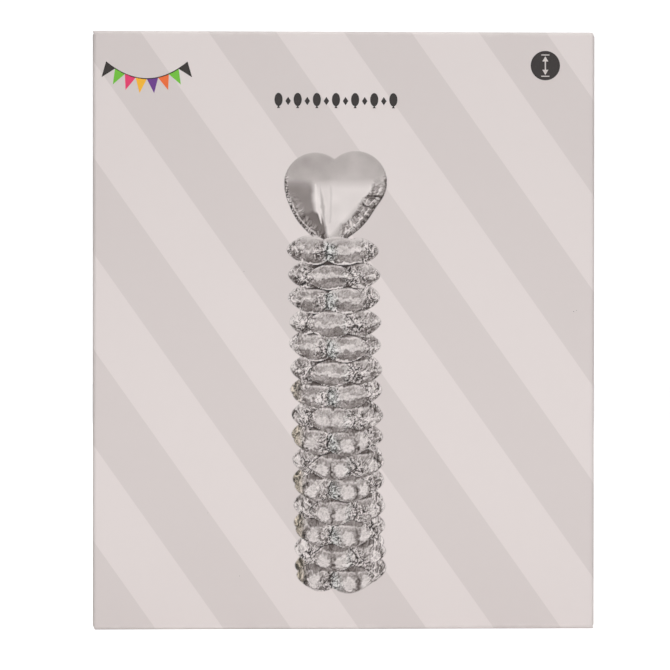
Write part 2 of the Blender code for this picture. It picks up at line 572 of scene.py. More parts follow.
@dataclass(frozen=True)
class StripedPrint:
    """The printed face of the board: broad diagonal stripes under a satin varnish.

    Attributes:
        light: Colour of the light stripes.
        dark: Colour of the dark stripes.
        bare: Colour of the board past the edge of the print.
        rubbed: Colour of the board where the ink has cracked on a fold.
        pitch: Distance from one light stripe to the next, along the front's bottom edge.
        slope: How far a stripe leans to the left for each metre up.
        start: Where a light stripe begins, at height 0 of the flat sheet.
        sharpness: How sharp the stripes' edges are.
        bleed: How far the print runs on past a fold, on flaps that lie hidden.
        roughness: Roughness of the varnish.
    """

    light: tuple = display(217, 208, 206)
    dark: tuple = display(206.5, 197.5, 195.5)
    bare: tuple = display(222, 219, 214)
    rubbed: tuple = display(236, 231, 228)
    pitch: float = 56.6 * MM
    slope: float = 0.7071
    start: float = (23.8 + 244.1 * 0.7071) * MM
    sharpness: float = 30.0
    bleed: float = 3.2 * MM
    roughness: float = 0.47

    def colour(self, graph: Graph) -> tuple:
        """Build the striped colour in a material.

        Args:
            graph: The material's graph.

        Returns:
            The colour, the roughness and the height.
        """
        flat = graph.attribute("flat", "Vector")
        stripes = graph.group(
            STRIPES,
            Flat=flat,
            Light=self.light,
            Dark=self.dark,
            Pitch=self.pitch,
            Slope=self.slope,
            Start=self.start,
            Sharpness=self.sharpness,
        )
        past = graph.parts(flat)["Z"]
        printed = graph.span(past, self.bleed, self.bleed + 0.2 * MM, 1.0, 0.0)
        inked = graph.blend(printed, self.bare, stripes["Color"])
        grain = graph.group(GRAIN, Flat=flat, Strength=0.035)
        toned = graph.toned(inked, grain["Tone"])
        wear = graph.attribute("wear", "Fac")
        rubbed = graph.group(WEAR, Wear=wear, Flat=flat, Amount=0.20)["Mask"]
        rough = graph.plus(graph.times(grain["Height"], 0.06), self.roughness - 0.05)
        rough = graph.plus(rough, graph.times(rubbed, 0.25))
        return graph.blend(rubbed, toned, self.rubbed), rough, grain["Height"]

    def material(self) -> Material:
        """Return the material of the printed face."""
        finish = Finish("striped board")
        return finish.dress(*self.colour(finish.graph), 0.10, finish.VARNISH)

    def picture_material(self) -> Material:
        """Return the material of the foil picture, with the stripes past its outline.

        Returns:
            The finished material.
        """
        finish = Finish("printed foil picture")
        graph = finish.graph
        colour, rough, height = self.colour(graph)
        flat = graph.attribute("flat", "Vector")
        speckle = graph.span(graph.noise(flat, 3000.0, 1.0), 0.2, 0.8, 0.95, 1.05)
        printed = graph.toned(graph.attribute("picture", "Color"), speckle)
        shown = graph.blend(graph.attribute("ink", "Fac"), colour, printed)
        return finish.dress(shown, rough, height, 0.10, finish.VARNISH)


@dataclass(frozen=True)
class PlainBoard:
    """The unprinted inner face of the board: greyish white, fibrous, with dark flecks.

    Attributes:
        colour: Colour of the fibres.
        fleck: Colour of the flecks.
        roughness: Roughness of the face.
    """

    colour: tuple = display(221, 217, 211)
    fleck: tuple = display(168, 158, 148)
    roughness: float = 0.82

    def material(self) -> Material:
        """Return the material of the plain face.

        Returns:
            The finished material.
        """
        finish = Finish("plain board")
        graph = finish.graph
        flat = graph.attribute("flat", "Vector")
        grain = graph.group(GRAIN, Flat=flat, Strength=0.12)
        toned = graph.toned(self.colour, grain["Tone"])
        spots = graph.noise(graph.stretched(flat, (1.0, 0.45, 1.0)), 900.0, 1.0)
        flecked = graph.blend(graph.span(spots, 0.70, 0.76, 0.0, 0.55), toned, self.fleck)
        rough = graph.plus(graph.times(grain["Height"], 0.10), self.roughness - 0.08)
        return finish.dress(flecked, rough, grain["Height"], 0.35, finish.FIBRE)


@dataclass(frozen=True)
class CutEdge:
    """The cut edge of the board, where its layers show.

    Attributes:
        colour: Colour of the layers.
        layer: Colour of the darker lines between them.
        roughness: Roughness of the cut.
    """

    colour: tuple = display(214, 209, 202)
    layer: tuple = display(186, 178, 168)
    roughness: float = 0.9

    def material(self) -> Material:
        """Return the material of the cut edge.

        Returns:
            The finished material.
        """
        finish = Finish("cut board edge")
        graph = finish.graph
        place = graph.place()
        lines = graph.noise(graph.stretched(place, (0.12, 1.0, 0.12)), 5200.0, 1.0)
        layered = graph.blend(graph.span(lines, 0.48, 0.66, 0.0, 0.8), self.colour, self.layer)
        fibres = graph.noise(place, 3800.0, 2.0)
        rough = graph.plus(graph.times(fibres, 0.12), self.roughness - 0.1)
        return finish.dress(layered, rough, fibres, 0.4, finish.FIBRE)


@dataclass(frozen=True)
class SpotInk:
    """One flat printed ink, thinner where the board's fibres stand up.

    Attributes:
        name: The material's name.
        colour: Colour of the ink.
        thin: Colour where it is thin.
    """

    name: str
    colour: tuple
    thin: tuple

    def material(self) -> Material:
        """Return the material of the ink.

        Returns:
            The finished material.
        """
        finish = Finish(self.name)
        graph = finish.graph
        sparse = graph.span(graph.noise(graph.place(), 1900.0, 2.0), 0.52, 0.78, 0.0, 0.35)
        return finish.dress_ink(graph.blend(sparse, self.colour, self.thin), 0.2, 0.40)


@dataclass(frozen=True)
class PennantInk:
    """The coloured inks of the row of pennants, one for each pennant by its number.

    Attributes:
        colours: The colours, from the first pennant to the last.
    """

    colours: tuple = (
        display(44, 37, 34),
        display(108, 186, 50),
        display(222, 52, 104),
        display(238, 176, 40),
        display(100, 48, 132),
        display(230, 104, 46),
        display(108, 186, 50),
        display(44, 37, 34),
    )

    def material(self) -> Material:
        """Return the material of the pennants.

        Returns:
            The finished material.
        """
        finish = Finish("pennant inks")
        number = finish.graph.attribute("number", "Fac")
        ramp = finish.graph.node("ShaderNodeValToRGB", Fac=number)
        ramp.color_ramp.interpolation = "CONSTANT"
        stops = ramp.color_ramp.elements
        while len(stops) < len(self.colours):
            stops.new(1.0)
        for place, colour in enumerate(self.colours):
            stops[place].position = place / len(self.colours)
            stops[place].color = colour
        return finish.dress_ink(ramp, 0.15, 0.40)


class Finishes:
    """Every finish of the carton, each made once."""

    def __init__(self) -> None:
        """Build the shared groups and the materials."""
        make_stripe_group()
        make_grain_group()
        make_wear_group()
        dark = SpotInk("dark ink", display(40, 33, 32), display(70, 62, 60))
        pale = SpotInk("pale ink", display(206, 198, 195), display(190, 182, 179))
        printed = StripedPrint().material()
        self.board = (printed, PlainBoard().material(), CutEdge().material())
        self.picture = StripedPrint().picture_material()
        self.dark = dark.material()
        self.pale = pale.material()
        self.pennants = PennantInk().material()


LAYERS = {1: ("FLOAT", "value"), 3: ("FLOAT_VECTOR", "vector"), 4: ("FLOAT_COLOR", "color")}
SHARP_ANGLE = math.radians(40)


def grid_quads(number: Array) -> Array:
    """Return the four-sided faces between neighbours in a grid of point numbers."""
    corners = [number[:-1, :-1], number[:-1, 1:], number[1:, 1:], number[1:, :-1]]
    return np.stack(corners, -1).reshape(-1, 4)


def make_mesh(name: str, points: Array, faces: list, finishes: tuple, **values: Array) -> object:
    """Make a piece from points and faces.

    Args:
        name: The piece's name.
        points: Its points.
        faces: Its faces.
        finishes: Its finishes, of which the first is on every face.
        values: What each point carries: a number, a vector or a colour, by attribute.

    Returns:
        The new object.
    """
    mesh = bpy.data.meshes.new(name)
    mesh.from_pydata(points.tolist(), [], faces)
    for finish in finishes:
        mesh.materials.append(finish)
    mesh.shade_smooth()
    mesh.set_sharp_from_angle(angle=SHARP_ANGLE)
    for attribute, numbers in values.items():
        kind, field = LAYERS[numbers.size // len(points)]
        layer = mesh.attributes.new(attribute, kind, "POINT")
        layer.data.foreach_set(field, numbers.astype(np.float32).ravel())
    mesh.update()
    return add_object(name, mesh)


def add_object(name: str, mesh: Mesh) -> Object:
    """Put a mesh in the scene as an object of this name."""
    piece = bpy.data.objects.new(name, mesh)
    bpy.context.scene.collection.objects.link(piece)
    return piece


def report(piece: Object, carrier: str) -> None:
    """Say in the log what was made and what carries it."""
    log.info("%s: %d faces, on %s", piece.name, len(piece.data.polygons), carrier)


def carry(piece: Object, body: str, slot: str, *nodes: str) -> None:
    """Let a piece ride on a body, in place of these CAD nodes.

    Args:
        piece: The piece.
        body: The body's name.
        slot: Not used.
        nodes: The CAD nodes that it replaces.
    """
    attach(piece, body)
    if nodes:
        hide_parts(*nodes)
    report(piece, body)


def bend(piece: Object, bodies: tuple) -> None:
    """Apply a crease's placement to its points, and say in the log which two bodies it lies between.
    """
    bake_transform(piece)
    report(piece, " and ".join(bodies))


def rub(distance: Array, reach: float = 1.1 * MM) -> Array:
    """Return how rubbed the board is this far from a fold or an edge, fading out over a reach."""
    return np.exp(-((distance / reach) ** 2))


@dataclass
class Panel:
    """A piece of board as a grid of points, in rows and columns.

    Attributes:
        outer: Points of the printed face.
        inward: Unit vectors from the printed face to the plain one.
        flat: Where each point lies on the flat sheet, and how far past a fold.
        wear: How much each point is rubbed, from 0 to 1.
    """

    outer: Array
    inward: Array
    flat: Array
    wear: Array

    @classmethod
    def laid(cls, place: tuple, inward: tuple, flat: tuple, wear: object) -> "Panel":
        """Spread single numbers, rows and columns over one grid.

        Args:
            place: X, Y and Z of the printed face.
            inward: X, Y and Z of the vectors to the plain one.
            flat: Place across and up the flat sheet, and distance past a fold.
            wear: How much each point is rubbed.

        Returns:
            The panel.
        """
        shape = np.broadcast_shapes(*(np.shape(part) for part in place))
        vectors = (
            np.stack([np.broadcast_to(part, shape) for part in parts], -1)
            for parts in (place, inward, flat)
        )
        return cls(*vectors, np.broadcast_to(wear, shape))

    def faces(self) -> tuple:
        """Return the faces of the closed piece, and the material number of each.

        Returns:
            Corners of each face, and its material number.
        """
        number = np.arange(self.wear.size).reshape(self.wear.shape)
        quads = grid_quads(number)
        loop = np.concatenate(
            [number[0, :-1], number[:-1, -1], number[-1, :0:-1], number[:0:-1, 0]]
        )
        behind = number.size
        after = np.roll(loop, -1)
        rim = np.stack([after, loop, loop + behind, after + behind], -1)
        faces = np.concatenate([quads, quads[:, ::-1] + behind, rim])
        across = self.outer[0, 1] - self.outer[0, 0]
        upward = self.outer[1, 0] - self.outer[0, 0]
        if np.dot(np.cross(across, upward), self.inward[0, 0]) > 0:
            faces = faces[:, ::-1]
        return faces, np.repeat([0, 1, 2], [len(quads), len(quads), len(rim)])

    def build(self, name: str, finishes: Finishes) -> Object:
        """Make the piece with its thickness, finishes and attributes.

        Args:
            name: The piece's name.
            finishes: The carton's finishes.

        Returns:
            The new object.
        """
        faces, kinds = self.faces()
        inner = self.outer + self.inward * CARTON.board
        points = np.concatenate([self.outer.reshape(-1, 3), inner.reshape(-1, 3)])
        flat = np.concatenate([self.flat.reshape(-1, 3)] * 2)
        wear = np.concatenate([self.wear.ravel()] * 2)
        piece = make_mesh(name, points, faces.tolist(), finishes.board, flat=flat, wear=wear)
        piece.data.polygons.foreach_set("material_index", kinds.astype(np.int32))
        piece.data.update()
        return piece


def arc(centre: tuple, radius: float, start: float, turn: float, facets: int) -> Array:
    """Return points on an arc as rows of x, y and inward x, y, without the first point."""
    angles = np.radians(start + turn * np.arange(1, facets + 1) / facets)
    outward = np.stack([np.cos(angles), np.sin(angles)], -1)
    return np.concatenate([np.array(centre) + radius * outward, -outward], -1)


def line(start: tuple, end: tuple, inward: tuple, step: float) -> Array:
    """Return points on a straight line as rows of x, y and inward x, y.

    Args:
        start: First place.
        end: Last place.
        inward: The way into the board.
        step: Usual distance between points.

    Returns:
        The rows.
    """
    length = math.dist(start, end)
    share = graded(0.0, length, step)[:, None] / length
    points = np.array(start) * (1.0 - share) + np.array(end) * share
    return np.concatenate([points, np.tile(inward, (len(points), 1))], -1)


@dataclass(frozen=True)
class Sleeve:
    """The tube of the carton: left side, front, right side, back and glue flap in one piece.

    Attributes:
        finishes: The carton's finishes.
        carton: The carton's sizes.
        step: Usual distance between the mesh's points.
        fold_facets: Facets in each upright fold.
    """

    finishes: Finishes
    carton: Carton = CARTON
    step: float = 5 * MM
    fold_facets: int = 8

    def outline(self) -> tuple:
        """Trace the tube's outer face, seen from above.

        Returns:
            Rows of x, y and inward x, y, and the number of the first row of each stretch:
            left side, front left fold, front, front right fold, right side, rear right fold,
            back, rear left fold and glue flap.
        """
        c = self.carton
        x, y, r, soft = c.width / 2, c.depth / 2, c.fold, c.front_fold
        glue_x = -x + c.board + c.gap
        facets = self.fold_facets
        stretches = [
            line((-x, y), (-x, soft - y), (1.0, 0.0), self.step),
            arc((soft - x, soft - y), soft, 180, 90, facets),
            line((soft - x, -y), (x - soft, -y), (0.0, 1.0), self.step)[1:],
            arc((x - soft, soft - y), soft, 270, 90, facets),
            line((x, soft - y), (x, y - r), (-1.0, 0.0), self.step)[1:],
            arc((x - r, y - r), r, 0, 90, facets),
            line((x - r, y), (glue_x + r, y), (0.0, -1.0), self.step)[1:],
            arc((glue_x + r, y - r), r, 90, 90, facets),
            line((glue_x, y - r), (glue_x, y - r - c.glue), (1.0, 0.0), self.step)[1:],
        ]
        firsts = np.cumsum([0] + [len(stretch) for stretch in stretches])
        return np.concatenate(stretches), firsts

    def margins(self, along: Array, firsts: Array) -> Array:
        """Return how far inside each end every upright column stops.

        Args:
            along: Distance of each column round the tube.
            firsts: First column of each stretch.

        Returns:
            The margin of each column.
        """
        c = self.carton
        side = c.inset + c.fold
        start = along[firsts[:-1] - 1 + (firsts[:-1] == 0)]
        front_left, front_right = ((start[n] + start[n + 1]) / 2 for n in (1, 3))
        places = [
            (along[0], side),
            (start[1], side),
            (front_left, c.crease),
            (front_right, c.crease),
            (start[4], side),
            (start[5], side),
            (start[6], 0.0),
            (start[7], 0.0),
            (start[8], side),
            (along[-1], side + c.glue_bevel),
        ]
        return np.interp(along, *np.array(places).T)

    def wear(self, along: Array, firsts: Array, inside: Array) -> Array:
        """Return how rubbed the board is near its folds and its cut edges.

        Args:
            along: Distance of each column round the tube.
            firsts: First column of each stretch.
            inside: Distance of each point inside the nearer end.

        Returns:
            Wear from 0 to 1.
        """
        folds = [(along[firsts[n] - 1] + along[firsts[n + 1] - 1]) / 2 for n in (1, 3, 5, 7)]
        upright = 0.4 * sum(rub(along - fold) for fold in folds)
        raw = 0.6 * rub(along - along[0])
        return np.clip(np.maximum(np.maximum(upright, raw), 0.8 * rub(inside)), 0.0, 1.0)

    def panel(self) -> tuple:
        """Lay out the tube.

        Returns:
            The panel, and the columns that the lids' creases join: a slice of its columns.
        """
        c = self.carton
        points, firsts = self.outline()
        steps = np.hypot(*np.diff(points[:, :2], axis=0).T)
        along = np.concatenate([[0.0], np.cumsum(steps)])
        margin = self.margins(along, firsts)
        rows = graded(0.0, c.height, self.step) / c.height
        z = margin + (c.height - 2 * margin) * rows[:, None]
        x, y, inward_x, inward_y = (np.broadcast_to(part, z.shape) for part in points.T)
        y = y.copy()
        front = slice(firsts[2] - 1, firsts[3])
        y[:, front] = FRONT.y(x[:, front], z[:, front])
        across = along - along[firsts[2] - 1] + c.front_fold
        past = np.clip(along - along[firsts[7] - 1], 0.0, None)
        wear = self.wear(along, firsts, np.minimum(z - margin, c.height - margin - z))
        joined = slice(firsts[1] - 1 + self.fold_facets // 2, firsts[3] + self.fold_facets // 2)
        panel = Panel.laid((x, y, z), (inward_x, inward_y, 0.0), (across, z, past), wear)
        return panel, joined

    def make(self) -> tuple:
        """Make the tube.

        Returns:
            The tube's panel, and the slice of its columns that the creases join.
        """
        panel, joined = self.panel()
        piece = panel.build("sleeve_board", self.finishes)
        sides = [f"{side.word}_side_panel" for side in Side]
        nodes = ("front_panel", "back_panel", *sides, "glue_flap")
        carry(piece, "sleeve", "printed_board", *nodes)
        return panel, joined


@dataclass(frozen=True)
class Closure:
    """One end of the carton: lid, tuck flap and two dust flaps, with the creases between.

    Attributes:
        end: Which end it is.
        finishes: The carton's finishes.
        carton: The carton's sizes.
        sharp: How far short of the side the lid stops at its sharp corner.
        blunt: How far short it stops at its blunt corner.
        slack: How far from a place a column still counts as on it.
        facets: Facets in each crease.
        drawn_in: How much of each side of a dust flap's crease doesn't bend.
    """

    end: End
    finishes: Finishes
    carton: Carton = CARTON
    sharp: float = 0.15 * MM
    blunt: float = 1.15 * MM
    slack: float = 0.01 * MM
    facets: int = 10
    drawn_in: float = 0.8 * MM

    @property
    def lid(self) -> str:
        """Name of the lid."""
        return f"{self.end.word}_lid"

    @property
    def lid_front(self) -> float:
        """Where the lid's flat part starts."""
        return self.carton.crease - self.carton.depth / 2

    def lid_columns(self, x: Array) -> Array:
        """Spread the front's columns over the lid, with one at each end of the tuck flap.

        Args:
            x: Where the front's columns end.

        Returns:
            Where the lid's start.
        """
        half = self.carton.width / 2
        left, right = self.blunt - half, half - self.sharp
        if self.end is End.TOP:
            left, right = self.sharp - half, half - self.blunt
        columns = left + (right - left) * (x - x[0]) / (x[-1] - x[0])
        for place in (-self.carton.tuck_half, self.carton.tuck_half):
            columns[np.argmin(np.abs(columns - place))] = place
        return columns

    def flat_height(self, length: float) -> float:
        """Return the flat sheet's height this far past the end's front crease."""
        c = self.carton
        bent = c.crease * math.pi / 2
        return c.level(self.end, c.crease) + self.end.value * (bent + length)

    def make_front_crease(self, sleeve: Panel, joined: slice) -> Array:
        """Make the strip that bends from the front to the lid.

        Args:
            sleeve: The tube's panel.
            joined: The columns of the tube that the strip continues.

        Returns:
            Where the lid's columns lie, across.
        """
        c, out = self.carton, self.end.value
        row = -1 if self.end is End.TOP else 0
        start_x, start_y, start_z = sleeve.outer[row, joined].T
        inward_x, inward_y, _ = sleeve.inward[row, joined].T
        across, height, past = sleeve.flat[row, joined].T
        lid_x = self.lid_columns(start_x)
        turn = np.linspace(0.0, math.pi / 2, self.facets + 1)[:, None]
        x = mix(start_x, lid_x, 1.0 - np.cos(turn))
        y = mix(start_y, self.lid_front, 1.0 - np.cos(turn))
        z = start_z + (c.level(self.end) - start_z) * np.sin(turn)
        into = (inward_x * np.cos(turn), inward_y * np.cos(turn), -out * np.sin(turn))
        across = mix(across, lid_x + c.width / 2, turn / turn[-1])
        flat = (across, height + out * c.crease * turn, past)
        strip = Panel.laid((x, y, z), into, flat, 0.75 + 0.25 * np.sin(2 * turn))
        piece = strip.build(f"{self.end.word}_front_crease", self.finishes)
        fold_y = 0.144 * MM - c.depth / 2
        start = (0.0, fold_y, c.level(self.end, c.crease - 0.146 * MM))
        end = (0.0, self.lid_front, c.level(self.end))
        bend(piece, ("sleeve", self.lid))
        return lid_x

    def make_lid(self, columns: Array) -> None:
        """Make the lid's flat part, between its two creases.

        Args:
            columns: Where its columns lie, across.
        """
        c, out = self.carton, self.end.value
        front = self.lid_front
        beyond = np.abs(columns) > c.tuck_half + self.slack
        rear = np.where(beyond, c.rear_fold + 0.8 * MM, c.rear_fold)
        share = graded(0.0, c.rear_fold - front, 2.5 * MM)[:, None] / (c.rear_fold - front)
        y = front + (rear - front) * share
        near_fold = np.minimum(y - front, rear - y)
        near_end = np.minimum(columns - columns[0], columns[-1] - columns)
        wear = np.maximum(0.75 * rub(near_fold), 0.6 * rub(near_end))
        flat = (columns + c.width / 2, self.flat_height(0.0) + out * (y - front), 0.0)
        place = (columns, y, c.level(self.end))
        board = Panel.laid(place, (0.0, 0.0, -out), flat, wear)
        piece = board.build(f"{self.lid}_board", self.finishes)
        carry(piece, self.lid, "printed_board", self.lid)

    def make_tuck(self, columns: Array) -> None:
        """Make the lid's rear crease and the tuck flap that hangs from it.

        Args:
            columns: Where the lid's columns lie, across.
        """
        c, out = self.carton, self.end.value
        tuck = f"{self.end.word}_tuck_flap"
        x = columns[np.abs(columns) <= c.tuck_half + self.slack]
        total = math.pi / 2 + c.lean
        turn = np.linspace(0.0, total, self.facets + 1)[:, None]
        centre_z = c.level(self.end, c.fold)
        y = c.rear_fold + c.fold * np.sin(turn)
        z = centre_z + out * c.fold * np.cos(turn)
        into = (0.0, -np.sin(turn), -out * np.cos(turn))
        height = self.flat_height(c.rear_fold - self.lid_front) + out * c.fold * turn
        wear = 0.75 + 0.25 * np.sin(math.pi * turn / total)
        strip = Panel.laid((x, y, z), into, (x + c.width / 2, height, 0.0), wear)
        piece = strip.build(f"{self.end.word}_rear_crease", self.finishes)
        root_y, root_z = y[-1, 0], z[-1, 0]
        start = (0.0, c.rear_fold, c.level(self.end))
        bend(piece, (self.lid, tuck))

        straight = c.tuck - c.tuck_corner
        rounded = np.sin(np.linspace(0.0, math.pi / 2, 13))[1:] * c.tuck_corner
        run = np.concatenate([np.linspace(0.0, straight, 4), straight + rounded])[:, None]
        past = np.clip(run - straight, 0.0, c.tuck_corner)
        half = c.tuck_half - c.tuck_corner + np.sqrt(c.tuck_corner**2 - past**2)
        spread = x * (half / c.tuck_half)
        place = (spread, root_y + math.cos(total) * run, root_z - out * math.sin(total) * run)
        into = (0.0, -math.sin(total), -out * math.cos(total))
        flat = (spread + c.width / 2, height[-1, 0] + out * run, 0.0)
        edge = np.minimum(c.tuck - run, half - np.abs(spread))
        wear = np.maximum(0.7 * rub(edge, MM), 0.75 * rub(run, MM))
        piece = Panel.laid(place, into, flat, wear).build(f"{self.end.word}_tuck_board", self.finishes)
        carry(piece, tuck, "printed_board", tuck)

    def dust_edges(self, depth: Array) -> tuple:
        """Return a dust flap's front and rear edge at distances in from the carton's side.

        Args:
            depth: The distances.

        Returns:
            Y of the front edge and of the rear edge at each distance.
        """
        c = self.carton
        root = c.fold + c.gap
        slope = np.clip((depth - root) / c.dust_shoulder, 0.0, 1.0)
        rear = c.dust_root + (c.dust_rear - c.dust_root) * slope
        into_corner = np.clip(depth - (root + c.dust - c.dust_corner), 0.0, c.dust_corner)
        cut = c.dust_corner - np.sqrt(c.dust_corner**2 - into_corner**2)
        return c.dust_front + cut, rear - cut

    def make_dust_flap(self, side: Side) -> None:
        """Make a dust flap, and the crease between it and the carton's side.

        Args:
            side: Which side it hangs on.
        """
        c, out, way = self.carton, self.end.value, side.value
        flap = f"{self.end.word}_dust_flap_{side.word}"
        z_face = c.level(self.end, c.inset)
        settled = c.fold + self.drawn_in
        turn = np.linspace(0.0, math.pi / 2, 9)
        run = np.array([0.25, 0.5, 0.8]) * MM
        depth = np.concatenate([c.fold * (1.0 - np.cos(turn)), c.fold + run])
        below = np.concatenate([c.fold * (1.0 - np.sin(turn)), 0.0 * run])
        lean = np.concatenate([turn, np.full(3, math.pi / 2)])
        past = np.concatenate([c.fold * turn, c.fold * math.pi / 2 + run])
        root_front, root_rear = self.dust_edges(settled)
        front = np.interp(depth, [0.0, settled], [c.front_fold - c.depth / 2, root_front])
        rear = np.interp(depth, [0.0, settled], [c.depth / 2 - c.fold - 0.1 * MM, root_rear])
        rows = np.stack([depth, z_face - out * below, front, rear, lean, past])
        piece = self.dust_panel(side, rows, 0.7).build(
            f"{self.end.word}_{side.word}_crease", self.finishes
        )
        bend(piece, ("sleeve", flap))

        shoulder = c.fold + c.gap + c.dust_shoulder
        corner = c.fold + c.gap + c.dust - c.dust_corner
        rounded = np.sin(np.linspace(0.0, math.pi / 2, 7))[1:] * c.dust_corner
        straight = np.linspace(shoulder, corner, 8)[1:]
        depth = np.concatenate([np.linspace(settled, shoulder, 6), straight, corner + rounded])
        level = np.full(depth.shape, z_face)
        lean = np.full(depth.shape, math.pi / 2)
        past = past[-1] + depth - settled
        rows = np.stack([depth, level, *self.dust_edges(depth), lean, past])
        piece = self.dust_panel(side, rows, 0.4).build(f"{flap}_board", self.finishes)
        carry(piece, flap, "plain_board", flap)

    def dust_panel(self, side: Side, rows: Array, rubbed: float) -> Panel:
        """Lay out a piece of a dust flap, row by row in from the carton's side.

        Args:
            side: Which side it hangs on.
            rows: For each row its distance in from the side, its height, its front edge, its
                rear edge, its turn from the side in radians, and its distance along the
                board past the start of the fold.
            rubbed: Wear along the fold.

        Returns:
            The panel.
        """
        c, out, way = self.carton, self.end.value, side.value
        depth, level, front, rear, lean, past = rows[..., None]
        y = front + (rear - front) * np.linspace(0.0, 1.0, 9)
        place = (way * (c.width / 2 - depth), y, level)
        into = (-way * np.cos(lean), 0.0, -out * np.sin(lean))
        saved = c.fold * (2.0 - math.pi / 2)
        across = c.width / 2 + way * (c.width / 2 + y + c.depth / 2 - saved)
        flat = (across, c.level(self.end, c.inset + c.fold) + out * past, past)
        return Panel.laid(place, into, flat, rubbed * rub(past - MM, 1.5 * MM))

    def make(self, sleeve: Panel, joined: slice) -> None:
        """Make everything at this end.

        Args:
            sleeve: The tube's panel.
            joined: The columns of the tube that the creases continue.
        """
        columns = self.make_front_crease(sleeve, joined)
        self.make_lid(columns)
        self.make_tuck(columns)
        for side in Side:
            self.make_dust_flap(side)


class Seen:
    """What a picture shows at each point: the nearest lobe of a ring, and where on it.

    Attributes:
        depth: Nearness of the nearest lobe.
        behind: Nearness of the next one behind it.
        cover: 1 where any lobe is seen, 0 outside their outline.
        along: Place along the lobe, from -1 to 1.
        height: Place up the lobe, from -1 to 1.
        offset: Distance to the right of the column's axis.
        key: A number of the lobe's own, which its creases start from.
        ring: Number of the ring, counted down from the top.
    """

    FAR = -1000.0
    FIELDS = ("depth", "behind", "cover", "along", "height", "offset", "key", "ring")

    def __init__(self, shape: tuple) -> None:
        """Start with nothing seen anywhere.

        Args:
            shape: Rows and columns of the picture.
        """
        for name in self.FIELDS:
            setattr(self, name, np.zeros(shape))
        self.depth[:] = self.FAR
        self.behind[:] = self.FAR

    def show(self, rows: Array, inside: Array, **values: Array) -> None:
        """Show a lobe where it is nearer than what is seen already.

        Args:
            rows: The rows of the picture that the lobe may touch.
            inside: Distance inside the lobe's outline.
            values: The lobe's own values by field, with its depth.
        """
        wins = values["depth"] > self.depth[rows]
        self.behind[rows] = np.where(
            wins, self.depth[rows], np.maximum(self.behind[rows], values["depth"])
        )
        self.cover[rows] = np.maximum(self.cover[rows], smooth(-0.14, 0.14, inside))
        for name, value in values.items():
            field = getattr(self, name)
            field[rows] = np.where(wins, value, field[rows])


